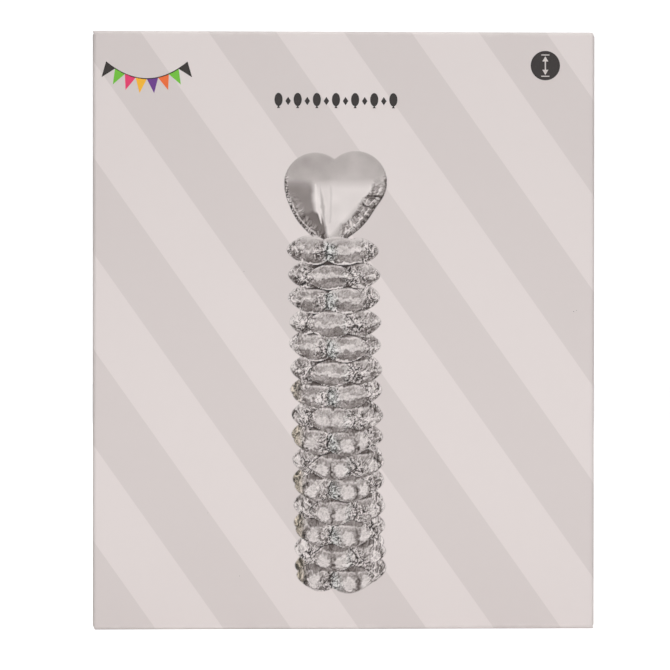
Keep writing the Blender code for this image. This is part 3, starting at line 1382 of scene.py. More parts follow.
@dataclass(frozen=True)
class Heart:
    """The heart-shaped foil balloon on top, in millimetres from the carton's middle and base.

    Attributes:
        left: Middle and radius of the left lobe.
        right: Middle and radius of the right lobe.
        belly: Middle and radius of the body between them.
        tip: Middle and radius of the tip.
        notch: How softly the two lobes run together.
        merge: How softly the lobes and the body run together.
    """

    left: tuple = (-12.1, 186.3, 13.0)
    right: tuple = (4.8, 187.0, 13.0)
    belly: tuple = (-5.1, 181.2, 17.6)
    tip: tuple = (-5.9, 168.0, 7.6)
    notch: float = 0.8
    merge: float = 3.3

    # Reflections: tone and softness of each, and its corners in clockwise order
    REFLECTIONS = (
        (0.545, 1.6, (-28, 187.6), (-14.2, 187.6), (-12.1, 183.5), (-12.1, 176), (-18, 168.4),
         (-28, 176.8)),
        (0.845, 1.5, (-12.6, 188), (12.6, 188.9), (12.6, 184.7), (-2.1, 168), (-5.9, 164.2),
         (-8.8, 165.9), (-12.6, 179.3)),
        (0.47, 0.9, (-18, 172.6), (-13, 175.5), (-10, 173.8), (-7.5, 168.4), (-7.5, 163.4),
         (-10.5, 163.4), (-15.5, 167.6)),
        (0.87, 0.4, (-12.1, 186.4), (-10, 186.4), (-9.6, 177.2), (-7.5, 167.6), (-9.6, 170.1),
         (-11.3, 176)),
        (0.72, 0.5, (-9.8, 186), (-8.8, 186), (-8.4, 176.8), (-6.3, 165.9), (-7.5, 166.7),
         (-9.6, 176.8)),
        (0.80, 0.5, (-6.3, 186), (-5.6, 186), (-5.4, 170.1), (-6.1, 170.1)),
    )

    def depth(self, x: Array, z: Array) -> Array:
        """Return how far inside the outline each place lies.

        Args:
            x: Places across, in millimetres.
            z: Places up.

        Returns:
            Depths in millimetres, below 0 outside.
        """
        left = drop_depth(x, z, self.left, self.tip)
        right = drop_depth(x, z, self.right, self.tip)
        belly = self.belly[2] - np.hypot(x - self.belly[0], z - self.belly[1])
        lobes = merged(left, right, self.notch)
        return mix(lobes, merged(lobes, belly, self.merge), smooth(186.0, 180.0, z))

    def paint(self, x: Array, z: Array) -> tuple:
        """Paint the heart.

        Args:
            x: Places across, in millimetres.
            z: Places up.

        Returns:
            Greys, and ink from 0 to 1.
        """
        inside = self.depth(x, z)
        fine, coarse, flakes = Noise(21), Noise(22), Facets(31)
        # Plain upper lobes, and soft reflections below
        side = coarse.at(x * 0.16, z * 0.16) + 0.15 * fine.at(x * 0.6, z * 0.6)
        tone = 0.675 + 0.035 * side + 0.03 * smooth(196.0, 188.0, z)
        below = smooth(190.0, 183.5, z + 0.6 * side)
        for value, softness, *corners in self.REFLECTIONS:
            shape = soft_polygon(x + 0.7 * side, z + 0.5 * side, corners, softness)
            tone = mix(tone, value, shape * below)
        tone = tone + 0.02 * fine.at(x * 0.25 + 5.0, z * 0.25)

        # Crumpled band inside the right edge, with two bright seams
        wander = 0.7 * coarse.at(x * 0.5, z * 0.5)
        right = smooth(-4.0, 2.0, x)
        around = np.arctan2(z - 184.0, x + 3.3)
        bent = around + 0.05 * coarse.at(x * 0.45, z * 0.45)
        pleats = fine.at(bent * 11.0, inside * 0.22 + 3.0) + 0.6 * coarse.at(bent * 23.0, inside * 0.5)
        flake, edge = flakes.at(bent * 15.0, inside * 0.40 + 0.4 * fine.at(x * 0.8, z * 0.8))
        band = smooth(6.8 + wander, 5.2, inside) * smooth(190.0, 181.0, z) * right
        tone = mix(tone, 0.60 + 0.12 * pleats + 0.15 * flake - 0.20 * edge, 0.92 * band)
        seam = np.exp(-(((inside - 2.5 - 0.5 * wander) / 0.32) ** 2))
        second = np.exp(-(((inside - 4.4 - 0.9 * wander) / 0.25) ** 2)) * smooth(-0.1, 0.3, pleats)
        tone = mix(tone, 0.86, (0.75 * seam * smooth(-0.5, 0.0, pleats) + 0.6 * second) * band)

        # The same at the lower left
        lower = smooth(184.0, 176.0, z) * smooth(-4.0, -9.0, x)
        left_band = smooth(5.6 + wander, 2.6, inside) * lower
        left_tone = 0.54 + 0.14 * pleats + 0.12 * flake - 0.14 * edge
        tone = mix(tone, left_tone, 0.8 * left_band)
        left_seam = np.exp(-(((inside - 1.5 - 0.3 * wander) / 0.35) ** 2))
        tone = mix(tone, 0.80, 0.7 * left_seam * lower)

        # Puckered rim
        rim = smooth(1.9 + 0.5 * wander, 0.7, inside) * smooth(192.0, 184.0, z)
        dark = coarse.creases(x * 0.9, z * 0.9, 0.42)
        light = fine.creases(x * 1.1 + 17.0, z * 1.1, 0.26)
        tone = tone - (0.38 * dark - 0.22 * light) * rim
        tone = mix(tone, 0.40, 0.55 * rim * right)
        tone = tone - 0.14 * np.exp(-((inside / 0.45) ** 2)) * smooth(200.0, 186.0, z)
        glow = np.exp(-((inside / 0.7) ** 2)) * smooth(188.0, 197.0, z)
        tone = crisp(mix(tone, 0.73, 0.5 * glow), 0.9)
        return np.clip(tone, 0.25, 0.93), smooth(-0.14, 0.14, inside)


def merged(first: Array, second: Array, reach: float) -> Array:
    """Return the greater depth of two, run together softly where they are this close."""
    share = np.clip(0.5 + 0.5 * (first - second) / reach, 0.0, 1.0)
    return mix(second, first, share) + reach * share * (1.0 - share)


def crisp(tone: Array, strength: Array) -> Array:
    """Return tones with their small steps made stronger by this much, as in a sharpened print.

    Args:
        tone: The tones.
        strength: How much of each step is added again.

    Returns:
        The sharper tones.
    """
    soft = tone
    for _ in range(4):
        for axis in (0, 1):
            soft = (np.roll(soft, 1, axis) + 2.0 * soft + np.roll(soft, -1, axis)) / 4.0
    return tone + strength * (tone - soft)


def drop_depth(x: Array, z: Array, lobe: tuple, tip: tuple) -> Array:
    """Return the distance inside a drop that narrows from a large circle to a small one.

    Args:
        x: Places across, in millimetres.
        z: Places up.
        lobe: Middle and radius of the large circle.
        tip: Middle and radius of the small one.

    Returns:
        Depths in millimetres, below 0 outside.
    """
    length = math.hypot(tip[0] - lobe[0], tip[1] - lobe[1])
    way_x, way_z = (tip[0] - lobe[0]) / length, (tip[1] - lobe[1]) / length
    along = (x - lobe[0]) * way_x + (z - lobe[1]) * way_z
    beside = np.abs((x - lobe[0]) * way_z - (z - lobe[1]) * way_x)
    lean = (lobe[2] - tip[2]) / length
    upright = math.sqrt(1.0 - lean * lean)
    foot = upright * along - lean * beside
    at_lobe = lobe[2] - np.hypot(beside, along)
    at_tip = tip[2] - np.hypot(beside, along - length)
    at_side = lobe[2] - upright * beside - lean * along
    return np.where(foot < 0, at_lobe, np.where(foot > upright * length, at_tip, at_side))


def soft_polygon(x: Array, z: Array, corners: list, softness: float) -> Array:
    """Return 1 inside a convex outline that runs clockwise, with an edge this soft.

    Args:
        x: Places across, in millimetres.
        z: Places up.
        corners: The outline's corners.
        softness: Half the width of its edge.

    Returns:
        Shares from 0 to 1.
    """
    inside = np.full(x.shape, 1000.0)
    for (ax, az), (bx, bz) in zip(corners, corners[1:] + corners[:1]):
        length = math.hypot(bx - ax, bz - az)
        inside = np.minimum(inside, ((bz - az) * (x - ax) - (bx - ax) * (z - az)) / length)
    return smooth(-softness, softness, inside)


@dataclass(frozen=True)
class ColumnPicture:
    """The printed column of foil balloons, in millimetres from the carton's middle and base.

    Attributes:
        rings: Number of rings.
        lobes: Number of lobes in a ring.
        top: Height of the top ring.
        pitch: Distance from the top ring to the next.
        pitch_loss: How the distance shrinks further down.
        axis_top: Middle of the top ring, across.
        axis_bottom: Middle of the bottom ring.
        reach: Distance of a lobe's middle from the column's axis.
        sizes: Half a lobe's size out from the axis, along the ring and up.
        pinch: How much a lobe narrows towards its ends.
        sway: How far the rings lie to the left and right of the axis, by turns.
        twist_top: Turn of the top ring round the column.
        twist_bottom: Turn of the bottom ring.
        tilt_top: How far the top ring is seen from above.
        tilt_bottom: How far the bottom ring is.
        gloss: Light that the varnish throws back over the picture, so the ink is darker by it.
        heart: The heart on top.
    """

    rings: int = 15
    lobes: int = 5
    top: float = 158.4
    pitch: float = 9.98
    pitch_loss: float = 0.034
    axis_top: float = -4.6
    axis_bottom: float = -1.4
    reach: float = 11.2
    sizes: tuple = (8.3, 10.8, 5.7)
    pinch: float = 0.55
    sway: float = 0.5
    twist_top: float = math.radians(-9)
    twist_bottom: float = math.radians(-13)
    tilt_top: float = math.radians(3)
    tilt_bottom: float = math.radians(23)
    gloss: float = 0.040
    heart: Heart = Heart()

    DARKEST = 0.012

    # Grey of a lobe at each height from its lower edge to its upper one
    HEIGHTS = (
        (-1.0, -0.95, -0.88, -0.80, -0.74, -0.30, -0.02, 0.05, 0.30, 0.36, 0.80, 0.93, 1.0),
        (0.30, 0.46, 0.86, 0.75, 0.53, 0.56, 0.61, 0.77, 0.82, 0.71, 0.66, 0.78, 0.48),
    )

    def paint(self, x: Array, z: Array) -> tuple:
        """Paint the whole picture.

        Args:
            x: Places across, in millimetres, as rows of a grid.
            z: Places up, the same along each row.

        Returns:
            Linear colours, and ink from 0 to 1.
        """
        heart_tone, heart_ink = self.heart.paint(x, z)
        seen = Seen(x.shape)
        for number in range(self.rings):
            for lobe in range(self.lobes):
                self.show_lobe(seen, x, z, number, lobe)
        tone, hue = self.shade(x, z, seen)
        tone = mix(heart_tone, tone, seen.cover)
        hue = (hue * seen.cover)[..., None]
        plain = np.stack([tone + 0.022, tone - 0.007, tone - 0.016], -1)
        olive = np.stack([tone * 1.02, tone * 0.958, tone * 0.876], -1)
        cool = np.stack([tone - 0.012, tone + 0.004, tone - 0.004], -1)
        colour = mix(mix(plain, olive, np.clip(hue, 0.0, 1.0)), cool, np.clip(-hue, 0.0, 1.0))
        light = linear(np.clip(colour, 0.0, 1.0))
        ink = np.clip(light - self.gloss, self.DARKEST, 1.0)
        return ink, np.maximum(heart_ink, seen.cover)

    def show_lobe(self, seen: Seen, x: Array, z: Array, number: int, lobe: int) -> None:
        """Work out how one lobe of one ring is seen, and show it.

        Args:
            seen: What is seen so far.
            x: Places across.
            z: Places up.
            number: Number of the ring, counted down from the top.
            lobe: Number of the lobe round the ring.
        """
        share = number / (self.rings - 1)
        ring_z = self.top - self.pitch * number + self.pitch_loss * number * number
        way = -1.0 if number % 2 == 0 else 1.0
        ring_x = mix(self.axis_top, self.axis_bottom, share) + self.sway * way
        tilt = mix(self.tilt_top, self.tilt_bottom, share)
        rows = np.abs(z[:, 0] - ring_z) < self.sizes[2] + self.reach
        if not rows.any():
            return
        half_turn = math.pi / self.lobes if number % 2 == 0 else 0.0
        twist = mix(self.twist_top, self.twist_bottom, share)
        turn = twist + half_turn + 2 * math.pi * lobe / self.lobes
        odd = math.sin(17.3 * number + 5.1 * lobe)
        low, high = math.sin(tilt), math.cos(tilt)
        # The lobe's axes as rows: out from the column, along the ring and up
        axes = np.array(
            [
                (math.sin(turn), -math.cos(turn) * low, math.cos(turn) * high),
                (math.cos(turn), math.sin(turn) * low, -math.sin(turn) * high),
                (0.0, high, low),
            ]
        )
        sizes = np.array(self.sizes) * (1.0, 1.0, 1.0 + 0.05 * odd)
        form = (axes.T / sizes**2) @ axes
        dx = x[rows] - ring_x - self.reach * axes[0, 0]
        aside = dx / math.hypot(*(sizes * axes[:, 0]))
        dz = z[rows] - ring_z - self.reach * axes[0, 1] - 0.3 * odd
        dz = dz * (1.0 + self.pinch * (0.6 + 0.4 * axes[1, 0] ** 2) * aside**2)
        # Where the line of sight meets the lobe: roots of a quadratic equation
        b = form[0, 2] * dx + form[1, 2] * dz
        c = form[0, 0] * dx**2 + 2 * form[0, 1] * dx * dz + form[1, 1] * dz**2 - 1.0
        root = b * b - form[2, 2] * c
        inside = (1.0 - np.sqrt(np.clip(1.0 - root / form[2, 2], 0.0, None))) * self.sizes[2]
        front = (np.sqrt(np.clip(root, 0.0, None)) - b) / form[2, 2]
        place = (np.stack([dx, dz, front], -1) @ axes.T) / sizes
        seen.show(
            rows,
            inside,
            depth=np.where(root > 0, self.reach * axes[0, 2] + front, Seen.FAR),
            along=place[..., 1],
            height=place[..., 2],
            offset=x[rows] - ring_x,
            key=np.full(dx.shape, 7.7 * number + 3.1 * lobe),
            ring=np.full(dx.shape, float(number)),
        )

    def shade(self, x: Array, z: Array, seen: Seen) -> tuple:
        """Shade the rings as crumpled silver foil.

        Args:
            x: Places across.
            z: Places up.
            seen: What is seen at each place.

        Returns:
            Greys, and hues from -1, greenish, through 0 to 1, olive.
        """
        fine, medium, coarse = Noise(3), Noise(5), Noise(8)
        low = seen.ring / (self.rings - 1)
        lower = smooth(0.42, 0.62, low)
        ends = smooth(10.5, 15.0, np.abs(seen.offset))
        flank = smooth(0.44, 0.86, np.abs(seen.along))
        mess = np.clip(0.14 + 0.72 * flank + 0.50 * ends, 0.0, 1.0)
        up = seen.height * self.sizes[2] + 3.3 * seen.key
        wave = medium.at(x * 0.8, up * 0.8)
        wave_two = coarse.at(x * 0.8 + 50, up * 0.8)
        # Light and dark bands up each lobe, bent by its dents
        wander = 0.22 * medium.at(x * 0.36 + seen.key, up * 0.4) + 0.12 * wave
        wander = wander + 0.10 * fine.at(x * 1.5 + seen.key, up * 0.9)
        level = seen.height + wander * smooth(1.0, 0.6, np.abs(seen.height)) + 0.14 * low
        tone = np.interp(level, *self.HEIGHTS)
        tone = tone + 0.07 * coarse.at(x * 0.22 + 1.7 * seen.key, up * 0.30)
        # Two bright spots and a dark strip on each lower lobe
        aside = (np.abs(seen.along - 0.04) - 0.37) / 0.30
        spot = np.hypot(aside, (seen.height - 0.10 - 0.1 * wave) / 0.62)
        spot = spot + 0.16 * fine.at(x * 1.3 + 3.0, up * 1.3)
        tone = mix(tone, 0.62, 0.60 * lower * smooth(1.0, 0.6, np.abs(seen.height)))
        tone = mix(tone, 0.87, 0.78 * lower * smooth(1.0, 0.66, spot))
        strip = np.exp(-(((seen.along - 0.04 + 0.10 * wave) / 0.07) ** 2))
        tone = tone - 0.22 * lower * strip * smooth(0.8, 0.4, np.abs(seen.height))
        # Facets and creases, most of them on flanks and at the rings' ends
        across = x + 0.55 * wave
        upward = seen.height * self.sizes[2] * mix(1.0, 0.55, ends)
        upward = upward + 3.3 * seen.key + 0.55 * wave_two
        small_tone, small_edge = Facets(13).at(1.15 * across, 1.30 * upward)
        wide_tone, wide_edge = Facets(17).at(0.42 * across, 0.50 * upward)
        tone = tone + wide_tone * mix(0.035, 0.13, mess)
        tone = tone - 0.08 * wide_edge * (0.1 + mess)
        tone = tone + mess * (0.16 * small_tone - 0.15 * small_edge)
        dark = fine.creases(across * 0.85 + seen.key, upward * 1.15, 0.19)
        bright = coarse.creases(across * 0.80 + 31.0, upward * 1.05, 0.19)
        tone = tone - 0.38 * mess * dark + 0.36 * mess * bright
        tone = tone + (0.02 + 0.03 * mess) * fine.at(x * 2.3 + 9.0, up * 2.3)
        # Top edge of the top ring
        tone = mix(tone, 0.74, 0.8 * (seen.ring == 0) * smooth(0.5, 1.0, seen.height))
        # Glints, shadows and dark pockets where lobes meet
        gap = np.clip(seen.depth - seen.behind, 0.0, None)
        glint = np.exp(-(((gap - 1.7 - 0.5 * wave) / 0.5) ** 2))
        glint = glint * smooth(-0.1, 0.35, medium.at(x * 0.5, up * 0.5))
        tone = mix(tone, 0.88, 0.55 * glint)
        tone = tone - 0.42 * np.exp(-gap / 0.46) - 0.12 * smooth(-0.90, -1.0, seen.height)
        recess = self.reach + self.sizes[0] - seen.depth + 0.8 * wave
        pocket = smooth(7.4, 10.5, recess) * smooth(12.0, 8.0, np.abs(seen.offset)) * (seen.ring > 0)
        tone = mix(tone, 0.31, 0.9 * pocket)
        # Olive left ends low down, and greenish flanks by the axis
        left_end = smooth(-13.0, -17.0, seen.offset) * (seen.ring % 2 == 0)
        olive = left_end * smooth(0.3, 0.5, low)
        tone = tone * (1.0 - 0.18 * olive)
        cool = smooth(5.0, 2.0, np.abs(seen.offset - 0.5)) * flank
        # Contrast of the print
        tone = crisp(tone, 1.0 - 0.50 * ends)
        tone = mix(0.65, tone, 1.02) - 0.014 - 0.012 * ends
        tone = tone - 0.45 * np.clip(tone - 0.78, 0.0, None)
        return np.clip(tone, 0.24, 0.88), olive - 0.6 * cool


@dataclass(frozen=True)
class PicturePiece:
    """The column's print: a thin closed film on the front, in a fine grid.

    Attributes:
        finishes: The carton's finishes.
        picture: What is painted.
        low: Height of the film's lower edge, in millimetres.
        high: Height of its upper edge.
        pitch: Distance between rows.
        columns: Points in a row.
        margin: How far the film reaches past the picture's outline.
        spread: How far up and down the outline's widest place counts.
    """

    finishes: Finishes
    picture: ColumnPicture = ColumnPicture()
    low: float = 14.6
    high: float = 201.0
    pitch: float = 0.30
    columns: int = 136
    margin: float = 0.8
    spread: float = 2.4

    def bounds(self, rows: Array) -> list:
        """Return the left and right end of each row, a margin past the picture's outline.

        Args:
            rows: Height of each row.

        Returns:
            Where the rows start and where they end.
        """
        x, z = np.meshgrid(np.arange(-27.0, 21.0, 0.4), rows)
        _, ink = self.picture.paint(x, z)
        reach = round(self.spread / self.pitch)
        wide = 2 * reach + 1
        ends = []
        for way in (-1.0, 1.0):
            far = np.where(ink > 0.02, way * x, -90.0).max(axis=1)
            near = np.lib.stride_tricks.sliding_window_view(np.pad(far, reach, "edge"), wide)
            far = np.pad(near.max(axis=1), reach, "edge")
            even = np.convolve(far, np.full(wide, 1.0 / wide), "valid")
            ends.append(way * (even + self.margin))
        return ends

    def make(self) -> None:
        """Make the film."""
        count = round((self.high - self.low) / self.pitch) + 1
        rows = np.linspace(self.low, self.high, count)
        left, right = self.bounds(rows)
        share = np.linspace(0.0, 1.0, self.columns)
        x = left[:, None] + (right - left)[:, None] * share
        z = np.broadcast_to(rows[:, None], x.shape)
        colour, ink = self.picture.paint(x, z)
        front = np.stack([x * MM, FRONT.y(x * MM, z * MM) - FILM, z * MM], -1)
        back = front[:, [0, -1]].copy()
        back[..., 1] += 0.8 * FILM

        number = np.arange(x.size).reshape(x.shape)
        behind = x.size + np.arange(count * 2).reshape(count, 2)
        sides = (
            number,
            np.stack([behind[:, 0], number[:, 0]], 1),
            np.stack([number[:, -1], behind[:, 1]], 1),
            behind[:, ::-1],
        )
        faces = np.concatenate([grid_quads(side) for side in sides]).tolist()
        faces.append([*behind[0].tolist(), *number[0, ::-1].tolist()])
        faces.append([*behind[-1, ::-1].tolist(), *number[-1].tolist()])
        points = np.concatenate([front.reshape(-1, 3), back.reshape(-1, 3)])
        flat = np.stack([points[:, 0] + CARTON.width / 2, points[:, 2], 0.0 * points[:, 1]], -1)
        colours = np.ones((len(points), 4))
        colours[: x.size, :3] = colour.reshape(-1, 3)
        piece = make_mesh(
            "column_picture",
            points,
            faces,
            (self.finishes.picture,),
            flat=flat,
            wear=np.zeros(len(points)),
            ink=np.concatenate([ink.ravel(), np.zeros(count * 2)]),
            picture=colours,
        )
        carry(piece, "sleeve", "printed_board")


KINDS = {int: "Int", float: "Float", Material: "Material"}


def shape_tree(name: str, values: dict) -> tuple:
    """Start a geometry tree with an input for each value and one shape for its result.

    Args:
        name: The tree's name.
        values: What its inputs will hold, by name.

    Returns:
        The tree, a Graph in it and what it is given.
    """
    tree = bpy.data.node_groups.new(name, "GeometryNodeTree")
    add_sockets(tree, "INPUT", {key: KINDS[type(value)] for key, value in values.items()})
    add_sockets(tree, "OUTPUT", {"Shape": "Geometry"})
    graph = Graph(tree)
    return tree, graph, graph.node("NodeGroupInput").outputs


def join(graph: Graph, shapes: list) -> Node:
    """Join shapes into one.

    Args:
        graph: The tree's graph.
        shapes: The shapes.

    Returns:
        The node that joins them.
    """
    joined = graph.node("GeometryNodeJoinGeometry")
    for shape in shapes:
        graph.feed(joined.inputs["Geometry"], shape)
    return joined


def end_tree(graph: Graph, shapes: list) -> None:
    """End a tree: join shapes, each with its material, and put them out as real meshes.

    Args:
        graph: The tree's graph.
        shapes: Each shape, with its material.
    """
    dressed = []
    for shape, material in shapes:
        real = graph.node("GeometryNodeRealizeInstances", Geometry=shape)
        dressed.append(graph.node("GeometryNodeSetMaterial", Geometry=real, Material=material))
    graph.node("NodeGroupOutput", Shape=join(graph, dressed))


def prism(
    graph: Graph, film: object, sides: int, size: tuple, place: tuple = ORIGIN, turn: float = 0.0
) -> Node:
    """Add a flat prism of ink that faces the front.

    Args:
        graph: The tree's graph.
        film: Its thickness.
        sides: Number of its sides.
        size: Half its width and half its height.
        place: Its middle.
        turn: Turn in its own plane, in radians.

    Returns:
        The shape's node.
    """
    body = graph.node("GeometryNodeMeshCylinder", Vertices=sides, Radius=1.0, Depth=film)
    upright = (math.pi / 2, turn, 0.0)
    turned = graph.node("GeometryNodeTransform", Geometry=body, Rotation=upright)
    scale = (size[0], 1.0, size[1])
    return graph.node("GeometryNodeTransform", Geometry=turned, Scale=scale, Translation=place)


def run_tree(name: str, tree: NodeTree, values: dict) -> Object:
    """Run a geometry tree and keep its result as a plain mesh.

    Args:
        name: The piece's name.
        tree: The tree.
        values: What each of its inputs holds, by name.

    Returns:
        The new object.
    """
    piece = add_object(name, bpy.data.meshes.new(name))
    modifier = piece.modifiers.new("shape", "NODES")
    modifier.node_group = tree
    for item in tree.interface.items_tree:
        if item.in_out == "INPUT":
            modifier[item.identifier] = values[item.name]
    bpy.context.view_layer.update()
    result = piece.evaluated_get(bpy.context.evaluated_depsgraph_get())
    mesh = bpy.data.meshes.new_from_object(result)
    piece.modifiers.clear()
    piece.data = mesh
    mesh.name = name
    return piece


def lay_on_front(piece: Object, middle: tuple) -> None:
    """Lay a flat shape, with its middle at the origin, on the bowed front at this middle.

    Args:
        piece: The shape.
        middle: Where its middle goes, across and up.
    """
    mesh = piece.data
    points = np.zeros(len(mesh.vertices) * 3)
    mesh.vertices.foreach_get("co", points)
    points = points.reshape(-1, 3)
    points[:, 0] += middle[0]
    points[:, 2] += middle[1]
    points[:, 1] += FRONT.y(points[:, 0], points[:, 2]) - FILM / 2
    mesh.vertices.foreach_set("co", points.ravel())
    mesh.update()


# Half the width and height of a triangle whose corners lie 1 from its middle
TRIANGLE = (0.866, 0.75)


@dataclass(frozen=True)
class FrontPrint:
    """A print that a geometry tree makes.

    Attributes:
        finishes: The carton's finishes.
        middle: Where its middle goes on the front, across and up.
    """

    NAME: ClassVar[str]
    finishes: Finishes
    middle: tuple

    def values(self) -> dict:
        """Return what the tree's inputs hold besides the film's thickness, by name."""
        raise NotImplementedError

    def shapes(self, graph: Graph, given: Sockets) -> list:
        """Build the shapes in a tree that is given these values, each with its material."""
        raise NotImplementedError

    def make(self) -> None:
        """Make the print and lay it on the front."""
        values = {**self.values(), "Film": FILM}
        tree, graph, given = shape_tree(self.NAME, values)
        end_tree(graph, self.shapes(graph, given))
        piece = run_tree(self.NAME, tree, values)
        lay_on_front(piece, self.middle)
        carry(piece, "sleeve", "printed_board")


@dataclass(frozen=True)
class BalloonRow(FrontPrint):
    """A row of small plain balloons and lozenges in dark ink, where the heading stood.

    Attributes:
        count: Number of shapes.
        pitch: Distance between them.
        balloon: Half a balloon's width and height.
        lozenge: Half a lozenge's width and height.
        knot: Half a knot's width and height, as shares of the balloon's.
        lift: How far a balloon's round part lies above the row's middle.
        tail: How far above a balloon's lower end its knot lies, without that lift.
        middle: The row's middle, across and up.
    """

    NAME = "balloon_row"
    count: int = 13
    pitch: float = 4.0 * MM
    balloon: tuple = (1.7 * MM, 2.8 * MM)
    lozenge: tuple = (1.15 * MM, 1.75 * MM)
    knot: tuple = (0.45, 0.30)
    lift: float = 0.6 * MM
    tail: float = 0.25 * MM
    middle: tuple = (-3.5 * MM, 220.9 * MM)

    def shapes(self, graph: Graph, given: Sockets) -> list:
        """Build the row.

        Args:
            graph: The tree's graph.
            given: What the tree is given, by name.

        Returns:
            The shapes, each with its material.
        """
        wide, tall = self.balloon
        film = given["Film"]
        round_part = prism(graph, film, 28, self.balloon, (0.0, 0.0, self.lift))
        neck = (0.0, 0.0, self.tail - tall)
        size = (self.knot[0] * wide, self.knot[1] * tall)
        knot = prism(graph, film, 3, size, neck, UPWARD)
        kinds = []
        for shape in (prism(graph, film, 4, self.lozenge), join(graph, [knot, round_part])):
            kinds.append(graph.node("GeometryNodeGeometryToInstance", Geometry=shape))
        last = graph.math("SUBTRACT", given["Count"], 1.0)
        half = graph.times(graph.times(last, given["Pitch"]), -0.5)
        points = graph.node(
            "GeometryNodeMeshLine",
            Count=given["Count"],
            Start_Location=graph.node("ShaderNodeCombineXYZ", X=half),
            Offset=graph.node("ShaderNodeCombineXYZ", X=given["Pitch"]),
        )
        by_turns = graph.math("MODULO", graph.node("GeometryNodeInputIndex"), 2.0)
        placed = graph.node(
            "GeometryNodeInstanceOnPoints",
            Points=points,
            Instance=join(graph, kinds),
            Pick_Instance=True,
            Instance_Index=by_turns,
        )
        return [(placed, given["Ink"])]

    def values(self) -> dict:
        """Return the number of shapes, their pitch and their ink."""
        return {"Count": self.count, "Pitch": self.pitch, "Ink": self.finishes.dark}


@dataclass(frozen=True)
class Bunting(FrontPrint):
    """A short row of coloured pennants on a sagging line, where the mark stood.

    Attributes:
        count: Number of pennants.
        span: Width of the line.
        sag: How far the middle of the line hangs.
        pennant: Half a pennant's width and height.
        hang: How far a pennant's middle hangs, as a share of half its height.
        cord: Half the line's thickness.
        middle: The line's middle, across and up.
    """

    NAME = "bunting"
    count: int = 8
    span: float = 34 * MM
    sag: float = 7 * MM
    pennant: tuple = (2.35 * MM, 3.1 * MM)
    hang: float = 0.67
    cord: float = 0.22 * MM
    middle: tuple = (-82.4 * MM, 237.0 * MM)

    def shapes(self, graph: Graph, given: Sockets) -> list:
        """Build the line and its pennants.

        Args:
            graph: The tree's graph.
            given: What the tree is given, by name.

        Returns:
            The shapes, each with its material.
        """
        film = given["Film"]
        half = graph.times(given["Span"], 0.5)
        curve = graph.node(
            "GeometryNodeCurveQuadraticBezier",
            Resolution=32,
            Start=graph.node("ShaderNodeCombineXYZ", X=graph.times(half, -1.0)),
            Middle=graph.node("ShaderNodeCombineXYZ", Z=graph.times(given["Sag"], -2.0)),
            End=graph.node("ShaderNodeCombineXYZ", X=half),
        )
        profile = graph.node(
            "GeometryNodeCurvePrimitiveQuadrilateral", Width=film, Height=2 * self.cord
        )
        upright = graph.node("GeometryNodeSetCurveNormal", {"mode": "Z_UP"}, Curve=curve)
        cord = graph.node(
            "GeometryNodeCurveToMesh", Curve=upright, Profile_Curve=profile, Fill_Caps=True
        )

        edge = 0.5 / self.count
        trim = {"Start": edge, "End": 1.0 - edge}
        inner = graph.node("GeometryNodeTrimCurve", {"mode": "FACTOR"}, Curve=curve, **trim)
        points = graph.node(
            "GeometryNodeCurveToPoints", {"mode": "COUNT"}, Curve=inner, Count=given["Count"]
        )
        wide, tall = self.pennant
        size = (wide / TRIANGLE[0], tall / TRIANGLE[1])
        flag = prism(graph, film, 3, size, (0.0, 0.0, -tall * self.hang), DOWNWARD)
        tangent = graph.parts(points.outputs["Tangent"])
        slope = graph.math("ARCTAN2", tangent["Z"], tangent["X"])
        lean = graph.node("ShaderNodeCombineXYZ", Y=graph.times(slope, -1.0))
        placed = graph.node(
            "GeometryNodeInstanceOnPoints", Points=points, Instance=flag, Rotation=lean
        )
        number = graph.plus(graph.node("GeometryNodeInputIndex"), 0.5)
        stored = graph.node(
            "GeometryNodeStoreNamedAttribute",
            {"data_type": "FLOAT", "domain": "INSTANCE"},
            Geometry=placed,
            Name="number",
            Value=graph.math("DIVIDE", number, given["Count"]),
        )
        return [(cord, given["Line ink"]), (stored, given["Pennant ink"])]

    def values(self) -> dict:
        """Return the number of pennants, the line's width and sag, and the inks."""
        inks = {"Line ink": self.finishes.dark, "Pennant ink": self.finishes.pennants}
        return {"Count": self.count, "Span": self.span, "Sag": self.sag, **inks}


